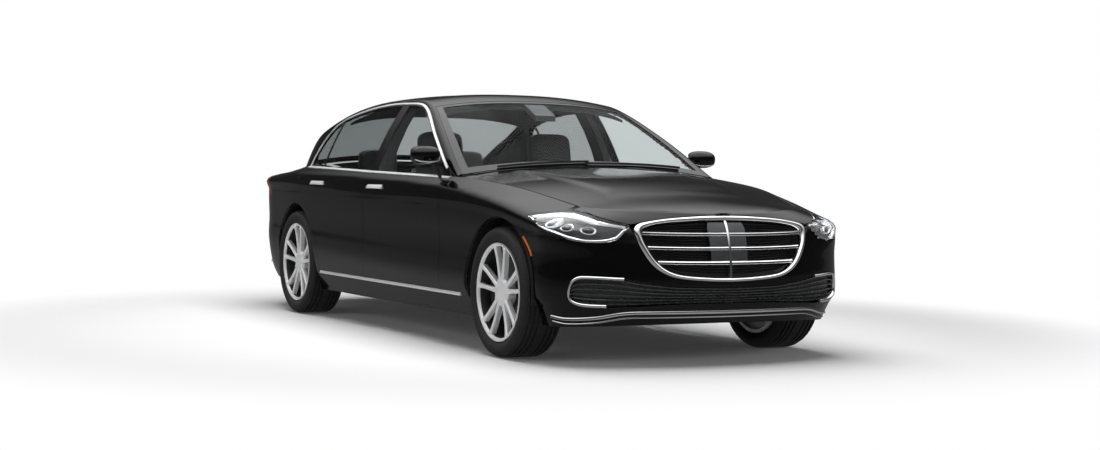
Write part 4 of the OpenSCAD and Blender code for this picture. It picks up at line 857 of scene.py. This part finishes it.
def closed_half(low_part, top_part, n=50):
    return np.concatenate([across(smooth_path(low_part, n)), across(smooth_path(top_part, n))[::-1]])


outer = closed_half(nose_line((624, 716)) + grille_out[1:],
                    nose_line((624, 724), (632, 746), (652, 757)) + grille_top[2:])
inner = closed_half(grille_in_low, grille_in_top)
arch_profile = [[u, 1 - 11 * math.sin(math.pi * u) ** 0.6] for u in np.linspace(0, 1, 13)]
make("grille_surround", ring(outer, inner, arch_profile + [[1.0, 34], [0.7, 34], [0.2, 14], [0.0, 12]]), chrome,
     "body", ["grille_frame"], "chrome", 50)


def swept(k, m):
    """Faces of a bar: k lines of m points round it, and its two ends."""
    return woven(k, m, True) + [tuple(r * m for r in range(k)), tuple(r * m + m - 1 for r in reversed(range(k)))]


def strip(path, profile):
    """A bar swept along a path on the skin: profile rows are [distance off the path, depth]."""
    path = np.asarray(path, float)
    way = np.gradient(path, axis=0)
    side = np.stack([-way[:, 1], way[:, 0]], 1) / np.linalg.norm(way, axis=1)[:, None]
    verts = [inset(*(path + side * w).T, np.full(len(path), float(deep))) for w, deep in profile]
    return np.concatenate(verts), swept(len(profile), len(path)), None


def at_share(s, share, low_part, top_part):
    """Height at a share of the way between two half outlines."""
    fold = np.where(s > s_nose, 2 * s_nose - s, s)
    lo, hi = (np.interp(fold, *np.transpose(part)) for part in (low_part, top_part))
    return lo + (hi - lo) * share


def d_bar(h, proud, deep):
    """Half-round bar section of height h."""
    half = [[h / 2 * math.cos(a), deep - (deep - proud) * math.sin(a)] for a in np.linspace(0, math.pi, 9)]
    return half + [[-h / 2, deep + 6], [h / 2, deep + 6]]


def ledge(h, proud, deep):
    """Bar section of height h whose face leans back, so that it catches the light from above."""
    rise = deep - proud
    return [[h / 2, deep], [h * 0.38, deep - rise * 0.3], [h * 0.1, deep - rise * 0.62],
            [-h * 0.2, proud + rise * 0.1], [-h * 0.38, proud], [-h / 2, proud + rise * 0.2],
            [-h / 2, deep + 6], [h / 2, deep + 6]]


bars = []
for z_bar, end in ((551, 712), (627, 674), (702, 660)):
    s = np.linspace(x_corner + end, 2 * s_nose - x_corner - end, 70)
    path = np.stack([s, z_bar + 6 * np.abs((s - s_nose) / 340) ** 2], 1)
    bars += [strip(path + [0, 5], ledge(12, 3, 16)), strip(path - [0, 9], d_bar(6, 9, 16))]
post = np.stack([np.full(30, s_nose), np.linspace(474, 768, 30)], 1)
n = facing(post[:, 0], post[:, 1])
front = skin(post[:, 0], post[:, 1])
section = [[9, 12], [7, 3], [0, 0], [-7, 3], [-9, 12], [-9, 24], [9, 24]]
verts = np.concatenate([front - n * d + np.array([0.0, w, 0.0]) for w, d in section])
bars.append((verts, swept(len(section), len(post)), None))
make("grille_bars", joined(*bars), chrome, "body", slot="chrome", sharp=50)
slats = []
for share in np.linspace(0.06, 0.96, 19):
    s = np.linspace(x_corner + 668, 2 * s_nose - x_corner - 668, 40)
    slats.append(strip(np.stack([s, at_share(s, share, grille_in_low, grille_in_top)], 1),
                       [[2, 20], [1, 16], [-2, 20], [-2, 34], [2, 34]]))
back = cut(closed_half(grille_in_low, grille_in_top), t=4, lip=4.0, off=34.0)
make("grille_slats", joined(*slats, back), plastic, "body", ["grille_insert"], "black", 40)
sensor_finish = mottled("sensor_panel", 10.0, (0.045, 0.047, 0.05), (0.075, 0.078, 0.082), (0.16, 0.08, 12.0))
half_s = 66
foot_z = float(at_share(np.array(s_nose - half_s), 0.30, grille_in_low, grille_in_top))
panel_edge = np.array([[s_nose - half_s, foot_z], [s_nose + half_s, foot_z],
                       [s_nose + half_s, 764], [s_nose - half_s, 764]])
make("grille_sensor", cut(panel_edge, t=6, lip=8.0, off=11.0), sensor_finish, "body", slot="black")

# INTAKE. Dark grey louvres across the lower opening, with a chromed surround at each end and a chromed
# line along the bumper's lower edge.
louvre_grey = mottled("louvre_grey", 14.0, (0.035, 0.036, 0.038), (0.06, 0.061, 0.064), (0.22, 0.1, 20.0))
louvres = []
for share in np.linspace(0.1, 0.9, 6):
    s = np.linspace(x_corner + 272, 2 * s_nose - x_corner - 272, 110)
    louvres.append(strip(np.stack([s, at_share(s, share, intake_low, intake_top)], 1),
                         [[4, 14], [2, 10], [-4, 14], [-6, 30], [3, 30]]))
back = cut(closed_half(intake_low, intake_top, 60), t=4, lip=4.0, off=30.0)
make("intake_louvres", joined(*louvres, back), louvre_grey, "body", ["intake_grille"], "black", 40)
end_path = smooth_path(nose_line((470, 322), (340, 327), (284, 345), (268, 375), (274, 425), (300, 458),
                                 (345, 472), (560, 466)), 70)
lip_path = across(smooth_path(nose_line((70, 262), (200, 252), (400, 262), (560, 288), (700, 292),
                                        (1000, 292)), 80))
brightwork = joined(pair(strip(end_path, d_bar(18, -5, 5))), strip(lip_path, ledge(14, -8, 3)),
                    strip(lip_path - [0, 26], ledge(7, -4, 3)))
make("bumper_brightwork", brightwork, chrome, "body", slot="chrome", sharp=50)

# HEADLAMPS. Clear lenses over a dark housing with bright lines and three oval projectors each, clipped
# into the wings and the front cover from behind. The lines and the rings round the projectors glow faintly:
# this is painted glow on a reflector finish, not a lit lamp.
lens = finish("clear_lens", lambda p: {"Roughness": 0.01 * p.noise(4.0)},
              Base_Color=(0.96, 0.97, 0.98, 1), Transmission_Weight=1.0, IOR=1.3)
# Reflector finish with a faint white emission: painted glow that brightens it like a highlight, though no lamp is
# lit.
painted_glow_reflector = mottled("lamp_reflector_painted_glow", 30.0, (0.75, 0.77, 0.8), (0.92, 0.93, 0.95), (0.12, 0.1, 60.0),
                 Metallic=0.6, Emission_Color=(1, 1, 1, 1), Emission_Strength=0.12)
lamp_edge = np.concatenate([smooth_path(lamp_top, 50)[1:-1], smooth_path(lamp_low, 60)[::-1]])
make("lamp_lenses", pair(cut(lamp_edge, t=3, lip=3.0)), lens, "body", ["headlamps"], "lens")
make("lamp_bowls", pair(cut(lamp_edge, t=8, lip=10.0, off=44.0)), plastic, "body", slot="black")
brow = np.stack([np.linspace(x_fa + 345, x_corner + 585, 70)] * 2, 1)
brow[:, 1] = curve(lamp_top, brow[:, 0]) - 9
under = smooth_path(nose_line((10, 742), (210, 690), (385, 664), (525, 677), (590, 728)), 60)


def oval(at, rows, closed):
    """Oval rings about a point of the skin: rows are [share of the size, depth]."""
    n, wide, high = 24, 46, 25
    ang = np.linspace(0, 2 * math.pi, n, endpoint=False)
    verts = [inset(at[0] + wide * r * np.cos(ang), at[1] + high * r * np.sin(ang), np.full(n, float(d)))
             for r, d in rows]
    ends = [] if closed else [tuple(range(n)), tuple(range(n * len(rows) - n, n * len(rows)))]
    return np.concatenate(verts), woven(len(rows), n, closed, True) + ends, None


# The brow and lower strips and the projector rings take the reflector finish with its painted glow.
lit, domes = [strip(brow, d_bar(8, 8, 20)), strip(under, d_bar(10, 8, 20))], []
for at in ((x_corner + 120, 757), (x_corner + 265, 731), (x_corner + 400, 716)):
    lit.append(oval(at, [(1.0, 34), (1.0, 14), (0.92, 11), (0.80, 15), (0.80, 22), (0.02, 22)], False))
    domes.append(oval(at, [(0.78, 21), (0.7, 16), (0.5, 12), (0.25, 10), (0.02, 9.5), (0.02, 20), (0.7, 22)], True))
make("lamp_lines_painted_glow", pair(*lit), painted_glow_reflector, "body", slot="chrome", sharp=40)
make("lamp_projectors", pair(*domes), gloss, "body", slot="black", sharp=60)

# TAIL LAMPS. Red lenses over a dark housing with three red lines each, clipped into the quarter panels,
# and a chromed bar between them on the boot lid.
red = mottled("red_lens", 8.0, (0.22, 0.004, 0.006), (0.34, 0.008, 0.01), (0.06, 0.05, 20.0),
              Transmission_Weight=0.25)
tail_edge = np.concatenate([
    [[x_haunch - 31, 797], [x_haunch - 63, 975]],
    line(np.linspace(x_haunch - 120, x_haunch - 650, 30), lambda x: top_rail(x) - 12), [[x_haunch - 650, 797]]])
make("tail_lenses", pair(cut(tail_edge, t=5, lip=5.0)), red, "body", ["tail_lamps"], "red_lens")
make("tail_bowls", pair(cut(tail_edge - [0, 14], t=6, lip=8.0, off=26.0)), plastic, "body", slot="black")


def bar(a, b, n, height, section):
    """A strip from station a to b, at a height that is a function of the station."""
    return strip(line(np.linspace(a, b, n), height), section)


tail_lines = [bar(x_haunch - 70, x_haunch - 640, 50, lambda x: z, d_bar(9, 9, 20)) for z in (830, 880, 925)]
make("tail_lights", pair(*tail_lines), red, "body", slot="red_lens", sharp=50)
make("boot_brightwork", bar(s_tail - 322, s_tail + 322, 60, lambda x: 842.0, d_bar(16, -5, 2)), chrome, "boot_lid",
     slot="chrome", sharp=50)

# WHEELS. Rubber tyres with a grooved tread on bright alloy rims with five twin spokes; the disc turns
# inside the spokes.
rubber = mottled("tyre_rubber", 30.0, (0.010, 0.010, 0.010), (0.019, 0.019, 0.019), (0.62, 0.2, 70.0),
                 (400.0, 0.2, 0.0008))
alloy = mottled("bright_alloy", 12.0, (0.92, 0.92, 0.93), (0.97, 0.97, 0.98), (0.34, 0.06, 9.0), Metallic=0.25)
disc_steel = mottled("disc_steel", 16.0, (0.10, 0.10, 0.10), (0.17, 0.17, 0.17), (0.35, 0.15, 50.0),
                     Metallic=0.8)


def lathe(profile, n=96):
    """Turned body about the wheel's axle: profile rows are [radius, distance outward]."""
    a = np.linspace(0, 2 * math.pi, n, endpoint=False)
    verts = [np.stack([r * np.cos(a), np.full(n, float(w)), r * np.sin(a)], 1) for r, w in profile]
    return np.concatenate(verts), woven(len(profile), n, True, True), None


half = [[258.5, 105], [270, 105.5], [282, 116], [296, 124], [308, 127], [322, 126], [330, 123], [341, 116],
        [349, 106], [353, 97], [353.2, 92], [347, 90], [347, 84], [354.5, 82], [355.2, 66], [348, 64], [348, 56],
        [355.6, 54], [356, 36], [349, 34], [349, 28], [356, 26]]
carcass = lathe(half + [[r, -w] for r, w in half[::-1]])
barrel = lathe([[248, -113], [268, -113], [268, -106], [258, -104], [258, 104], [268, 106], [268, 114], [262, 116],
                [254, 112], [249, 100], [247, 60], [246, -100]])
centre = lathe([[30.2, 40], [30.2, 80], [1, 82], [1, 103], [28, 103], [34, 100], [52, 99], [72, 94], [80, 84],
                [80, 40]])
disc = lathe([[72, 39], [86, 38], [86, 28], [178, 28], [180, 26], [180, 2], [178, 0], [74, 0]])
spokes = []
for i in range(5):
    for d in (-13, 13):
        a = math.radians(i * 72 + d + 90)
        along, aside = np.array([math.cos(a), 0, math.sin(a)]), np.array([-math.sin(a), 0, math.cos(a)])
        rows = []
        for r, wide, top in ((62, 13, 96), (95, 12.5, 97), (140, 11.5, 98), (190, 11, 101), (232, 12, 106),
                             (254, 17, 110)):
            rows += [along * r + aside * w + np.array([0, o, 0]) for w, o in (
                (wide, top - 30), (wide, top - 4), (wide - 3.5, top), (3.5 - wide, top), (-wide, top - 4),
                (-wide, top - 30))]
        spokes.append((np.array(rows), woven(6, 6, False, True) + [tuple(range(6)), tuple(range(30, 36))], None))


def repeat_round(name, block, count):
    """A block set round the wheel's axle by a geometry node tree, as one plain mesh."""
    source = bpy.data.meshes.new(name + "_one")
    source.from_pydata([tuple(p) for p in np.asarray(block[0]) * 0.001], [], block[1])
    one = bpy.data.objects.new(name + "_one", source)
    tree = bpy.data.node_groups.new(name + "_round", "GeometryNodeTree")
    tree.interface.new_socket("Block", in_out="INPUT", socket_type="NodeSocketGeometry")
    tree.interface.new_socket("Count", in_out="INPUT", socket_type="NodeSocketInt")
    tree.interface.new_socket("Blocks", in_out="OUTPUT", socket_type="NodeSocketGeometry")
    into, out = tree.nodes.new("NodeGroupInput"), tree.nodes.new("NodeGroupOutput")
    points = tree.nodes.new("GeometryNodePoints")
    index, turn = tree.nodes.new("GeometryNodeInputIndex"), tree.nodes.new("ShaderNodeMath")
    share, spin = tree.nodes.new("ShaderNodeMath"), tree.nodes.new("ShaderNodeCombineXYZ")
    turn.operation, share.operation = "DIVIDE", "MULTIPLY"
    share.inputs[1].default_value = 2 * math.pi
    place = tree.nodes.new("GeometryNodeInstanceOnPoints")
    real = tree.nodes.new("GeometryNodeRealizeInstances")
    for a, b in ((into.outputs["Count"], points.inputs["Count"]), (index.outputs[0], turn.inputs[0]),
                 (into.outputs["Count"], turn.inputs[1]), (turn.outputs[0], share.inputs[0]),
                 (share.outputs[0], spin.inputs["Y"]), (points.outputs[0], place.inputs["Points"]),
                 (into.outputs["Block"], place.inputs["Instance"]), (spin.outputs[0], place.inputs["Rotation"]),
                 (place.outputs[0], real.inputs[0]), (real.outputs[0], out.inputs[0])):
        tree.links.new(a, b)
    bpy.context.collection.objects.link(one)
    mod = one.modifiers.new("round", "NODES")
    mod.node_group = tree
    for item in tree.interface.items_tree:
        if item.name == "Count":
            mod[item.identifier] = count
    mesh = bpy.data.meshes.new_from_object(one.evaluated_get(bpy.context.evaluated_depsgraph_get()))
    v = np.array([tuple(q.co) for q in mesh.vertices]) * 1000
    f = [tuple(q.vertices) for q in mesh.polygons]
    bpy.data.objects.remove(one)
    bpy.data.meshes.remove(mesh)
    return v, f, None


def block_of(a0, a1, corners):
    """A tread block: corners are [radius, distance outward] at its two ends."""
    verts = [[r * math.cos(a), w, r * math.sin(a)] for a in (a0, a1) for r, w in corners]
    return np.array(verts), [(0, 1, 2, 3), (7, 6, 5, 4), (0, 4, 5, 1), (1, 5, 6, 2), (2, 6, 7, 3), (3, 7, 4, 0)]


blocks = 70
pitch = 2 * math.pi / blocks
shoulder_block = block_of(0, pitch * 0.72, [[352, 93], [355, 94], [346, 113], [342, 112]])
shoulder = repeat_round("shoulder", shoulder_block, blocks)
bolt_at, bolt_r = 56.0, 9
bolt_block = (np.array([[bolt_at + bolt_r * math.cos(a), w, bolt_r * math.sin(a)] for w in (96, 103)
                        for a in np.linspace(0, 2 * math.pi, 7)[:-1]]),
              [tuple(range(6)), tuple(range(11, 5, -1))] + woven(2, 6, False, True))
bolts = repeat_round("bolt", bolt_block, 5)
tyre_mesh = joined(carcass, shoulder, mirrored(shoulder))
rim_mesh = joined(centre, *spokes, bolts, barrel, disc)
disc_faces = len(rim_mesh[1]) - len(disc[1])
bright_faces = disc_faces - len(barrel[1])
for end, x, y in (("front", x_fa, 830.0), ("rear", x_ra, 837.0)):
    for side, m in (("left", 1), ("right", -1)):
        body = f"wheel_{end}_{side}"
        for part, kind, mat, name in ((tyre_mesh, "tyre", rubber, "tyre"), (rim_mesh, "rim", alloy, "alloy")):
            v = part[0] * [1, m, 1] + [x, m * y, wheel_r]
            piece = make(f"{body}_{kind}", (v, part[1], None), mat, body, [f"{kind}_{end}_{side}"], name, 38)
            if kind == "rim":
                piece.data.materials.append(coated)
                piece.data.materials.append(disc_steel)
                for q in piece.data.polygons:
                    outer_lip = math.hypot(q.center.x - x * 0.001, q.center.z - wheel_r * 0.001) > 0.25
                    q.material_index = (0 if q.index < bright_faces or outer_lip and q.index < disc_faces
                                        else 1 if q.index < disc_faces else 2)

# BRIGHT TRIM. Polished strips round the side windows and along the lower doors, flush handles, black
# dividers in the rear windows, and an amber marker at the edge of the front arch; all are clipped on.
amber = mottled("amber_marker", 60.0, (0.72, 0.11, 0.008), (0.85, 0.17, 0.012), (0.15, 0.1, 40.0))
trim_metal = mottled("polished_aluminium", 6.0, (0.94, 0.94, 0.95), (0.98, 0.98, 0.98), (0.16, 0.06, 20.0),
                     Metallic=0.3)


def over_glass(x):
    return frame_z(x) - 8


def at_belt(x):
    return side_z(6, x) - 6


def at_foot(x):
    return 314.0


thin, low_section, grip = ledge(15, -6, 2), ledge(18, -9, 1), ledge(26, -13, 1)
front_bright = joined(bar(x_mid + 5, x_door - 120, 60, over_glass, thin),
                      bar(x_mid + 5, x_door - 36, 60, at_belt, thin),
                      bar(x_mid + 5, x_door - 5, 50, at_foot, low_section),
                      bar(x_mid + 90, x_mid + 320, 30, lambda x: 902.0, grip))
zs = np.linspace(belt_z + 24, up(0.60), 20)
rear_top = strip(np.concatenate([np.stack([back_x(zs) + 14, zs], 1),
                                 line(np.linspace(x_ra + 330, x_mid - 5, 56), over_glass)]), thin)
rear_bright = joined(rear_top, bar(x_back + 12, x_mid - 5, 60, at_belt, thin),
                     bar(x_ra + 466, x_mid - 5, 50, at_foot, low_section),
                     bar(x_mid - 930, x_mid - 700, 30, lambda x: 912.0, grip))
divider = strip(np.stack([np.linspace(x_ra + 352, x_ra + 340, 12),
                          np.linspace(belt_z + 26, float(light_z(x_ra + 345)), 12)], 1), d_bar(18, -1, 5))
body_bright = joined(bar(x_door + 5, x_door + 255, 16, at_foot, low_section),
                     bar(x_haunch - 640, x_haunch - 120, 30, lambda x: 330.0, ledge(17, -9, 1)))
turned, marker_r = np.radians(np.linspace(29, 46, 14)), 415
marker = strip(np.stack([x_fa + marker_r * np.cos(turned), arch_z + marker_r * np.sin(turned)], 1),
               d_bar(17, -4, 2))
for side, turn in (("left", lambda p: p), ("right", mirrored)):
    for end, part in (("front", front_bright), ("rear", rear_bright)):
        body = f"door_{end}_{side}"
        make(f"{body}_brightwork", turn(part), trim_metal, body, slot="chrome", sharp=50)
    make(f"{body}_divider", turn(divider), gloss, body, slot="black", sharp=50)
    make(f"body_brightwork_{side}", turn(body_bright), trim_metal, "body", slot="chrome", sharp=50)
    make(f"side_marker_{side}", turn(marker), amber, "body", sharp=50)


# MIRRORS. Painted shells on a foot at the door's front corner, with a bright strip below and a glass
# that looks back; they ride on the front doors.
def bulge(t):
    return (1 - np.abs(t) ** 2.6) ** (1 / 2.6)


shell_x, shell_y, shell_z, flat_back = 74, 92, 54, 0.45
head = np.array([x_door - 215, half_w - 17, 1098.0])
mid = head - [24, 6, 0]
u = np.linspace(0, 2 * math.pi, 33)[:-1]
ahead = np.clip(np.sign(np.cos(u)) * np.abs(np.cos(u)) ** 0.8, -flat_back, 1)
above = np.sign(np.sin(u)) * np.abs(np.sin(u)) ** 0.75
rows = [mid + np.stack([shell_x * bulge(t) * ahead, np.full(32, shell_y * t), shell_z * bulge(t) * above], 1)
        for t in np.linspace(-1, 1, 17)]
shell_part = (np.concatenate(rows), woven(17, 32, False, True), None)
a, b = skin(np.array([x_door - 125.0]), np.array([962.0]))[0] + [0, 2, 12], head + [-12, -48, -30]
ang = np.linspace(0, 2 * math.pi, 13)[:-1]
rows = [a + (b - a) * t + np.stack([26 * np.cos(ang), 0 * ang, 12 * np.sin(ang)], 1) for t in np.linspace(0, 1, 5)]
arm = (np.concatenate(rows), woven(5, 12, False, True) + [tuple(range(12)), tuple(range(48, 60))], None)
t = np.linspace(-0.84, 0.84, 21)
r = bulge(t)
plate = np.array([mid + np.stack([-33.3 * r, shell_y * t, 45 * k * r], 1) for k in np.linspace(-1, 1, 7)])
under_lines = [np.array([mid + np.stack([shell_x * grow * r * math.cos(k) ** 0.8, shell_y * t,
                                         -shell_z * grow * r * math.sin(k) ** 0.75], 1) for k in (0.62, 0.8)])
               for grow in (0.97, 1.04)]
for side, turn, flip in (("left", lambda p: p, [1, 1, 1]), ("right", mirrored, [1, -1, 1])):
    body = f"door_front_{side}"
    make(f"mirror_shell_{side}", turn(joined(shell_part, arm)), paint, body, [f"mirror_{side}"], "paint", 60)
    sheet_between(f"mirror_glass_{side}", (plate + [4, 0, 0]) * flip, (plate - [2, 0, 0]) * flip, chrome, body)
    sheet_between(f"mirror_strip_{side}", *(k * flip for k in under_lines), trim_metal, body)

# DASHBOARD. A dark moulded panel bolted to the bulkhead, with a padded top, two glossy screens and a
# rimmed steering wheel.
leather = mottled("dark_leather", 9.0, (0.016, 0.015, 0.014), (0.03, 0.028, 0.026), (0.42, 0.15, 50.0),
                  (700.0, 0.3, 0.0008))
dress(plastic, "dashboard")
dress(leather, "steering_wheel")
dash_x = cowl_x + 4.5
ridge = [[dash_x - 6, 934], [dash_x - 70, 958], [dash_x - 160, 968], [dash_x - 260, 956], [dash_x - 330, 932],
         [dash_x - 372, 880], [dash_x - 391, 828]]
ridge = smooth_path([[-a, b] for a, b in ridge], 24) * [-1, 1]
dash_top = np.array([[[x, y, z + 6 * math.cos(y / 240)] for y in np.linspace(-760, 760, 33)] for x, z in ridge])
sheet_between("dash_pad", dash_top - [0, 0, 9], dash_top, leather, "body")
for name, y0, y1, (xa, za), (xb, zb) in (("driver_screen", 240, 530, (dash_x - 380, 938), (dash_x - 352, 1035)),
                                         ("centre_screen", -135, 135, (dash_x - 420, 640), (dash_x - 396, 880))):
    face = np.array([[[xa + (xb - xa) * r, y, za + (zb - za) * r] for y in np.linspace(y0, y1, 9)]
                     for r in np.linspace(0, 1, 7)])
    sheet_between(name, face, face + [12, 0, 0], gloss, "body")

# HEADLINER AND PARCEL SHELF. Boards covered in dark fabric, clipped under the roof and behind the rear
# seat; a plastic sensor pod and the cabin mirror are fixed to the windscreen.
fabric = mottled("dark_fabric", 300.0, (0.008, 0.008, 0.008), (0.016, 0.016, 0.016), (0.8, 0.15, 60.0),
                 (1200.0, 0.3, 0.0006))


def roof_grid(x0, x1, share, drop):
    return np.array([[[x, k * share * edge_y(x), upper_z(x, k * share * edge_y(x)) - drop - 18 * abs(k) ** 6]
                      for k in np.linspace(-1, 1, 25)] for x in np.linspace(x0, x1, 40)])


sheet_between("headliner", roof_grid(rear_top_x - 40, screen_top_x + 25, 0.95, 46),
              roof_grid(rear_top_x - 40, screen_top_x + 25, 0.95, 30), fabric, "body")
shelf = np.array([[[x, y, 1002 + 10 * (x - deck_x) / 400] for y in np.linspace(-640, 640, 9)]
                  for x in np.linspace(deck_x + 30, x_ra - 60, 7)])
sheet_between("parcel_shelf", shelf - [0, 0, 18], shelf, fabric, "body")
pod_x = screen_top_x + 110
pod = np.array([[[pod_x + dx, y, float(upper_z(pod_x + dx, y)) - 9] for y in np.linspace(-70, 70, 9)]
                for dx in np.linspace(-70, 90, 9)])
sheet_between("sensor_pod", pod - [0, 0, 34], pod, plastic, "body")
cabin_mirror = np.array([[[pod_x - 60 + 12 * abs(k), 120 * k, z] for k in np.linspace(-1, 1, 13)]
                         for z in np.linspace(1328, 1392, 7)])
sheet_between("cabin_mirror", cabin_mirror, cabin_mirror + [16, 0, 0], gloss, "body")


# SEATS. Padded leather cushions, backs and headrests that stand on the floor, as soft rounded forms;
# each row of seats is one piece.
def cushion(name, body, nodes, solids):
    """Soft forms: rounded boxes with crowned faces, joined in one mesh."""
    parts = []
    for centre, size, tilt, crown in solids:
        n = 14
        t = np.linspace(-1, 1, n)
        ids, verts, faces = {}, [], []
        for axis in range(3):
            for s in (-1, 1):
                ways = (axis, (axis + 1) % 3, (axis + 2) % 3)
                net = np.zeros((n, n), int)
                for i in range(n):
                    for j in range(n):
                        q = [0.0, 0.0, 0.0]
                        for way, c in zip(ways, (s, t[i], t[j])):
                            q[way] = c
                        key = tuple(round(c, 5) for c in q)
                        if key not in ids:
                            ids[key] = len(verts)
                            verts.append(q)
                        net[i, j] = ids[key]
                faces += [(net[i, j], net[i + 1, j], net[i + 1, j + 1], net[i, j + 1])
                          for i in range(n - 1) for j in range(n - 1)]
        q = np.array(verts)
        p = 5.0
        q = q / (np.sum(np.abs(q) ** p, 1) ** (1 / p))[:, None]
        q[:, 2] += crown * np.cos(q[:, 0] * 1.4) * np.cos(q[:, 1] * 1.4) * np.sign(q[:, 2]) * 0.5
        q[:, 2] -= 0.1 * crown * np.abs(np.sin(q[:, 1] * 7.0)) * (q[:, 2] > 0.4)
        q = q * np.array(size) / 2
        c, d = math.cos(math.radians(tilt)), math.sin(math.radians(tilt))
        q = np.stack([q[:, 0] * c + q[:, 2] * d, q[:, 1], q[:, 2] * c - q[:, 0] * d], 1)
        parts.append((q + np.array(centre), faces, None))
    piece = make(name, (*joined(*parts)[:2], None), leather, body, nodes, "seat")


x0, z0 = x_mid + 80, 215.5
front_parts = []
for y in (-397, 397):
    front_parts += [((x0 + 215, y, z0 + 200), (540, 480, 120), -4, 0.25),
                    ((x0 + 215, y, z0 + 85), (400, 380, 150), 0, 0.05),
                    ((x0 - 72, y, z0 + 515), (135, 490, 640), -18, 0.06),
                    ((x0 - 168, y, z0 + 925), (100, 300, 225), -12, 0.1)]
cushion("front_seat_pads", "body", ["front_seats"], front_parts)
x0, z0, w = x_ra + 420, 495.5, 2 * 674.5
rear_parts = []
for m in (-1, 1):
    rear_parts += [((x0 - 60, m * w / 4, z0 + 58), (470, w / 2 - 12, 105), -4, 0.2),
                   ((x0 - 350, m * w / 4, z0 + 270), (120, w / 2 - 12, 440), -20, 0.06),
                   ((x0 - 445, m * w / 4, z0 + 560), (85, 280, 170), -8, 0.1)]
cushion("rear_seat_pads", "body", ["rear_seat"], rear_parts)
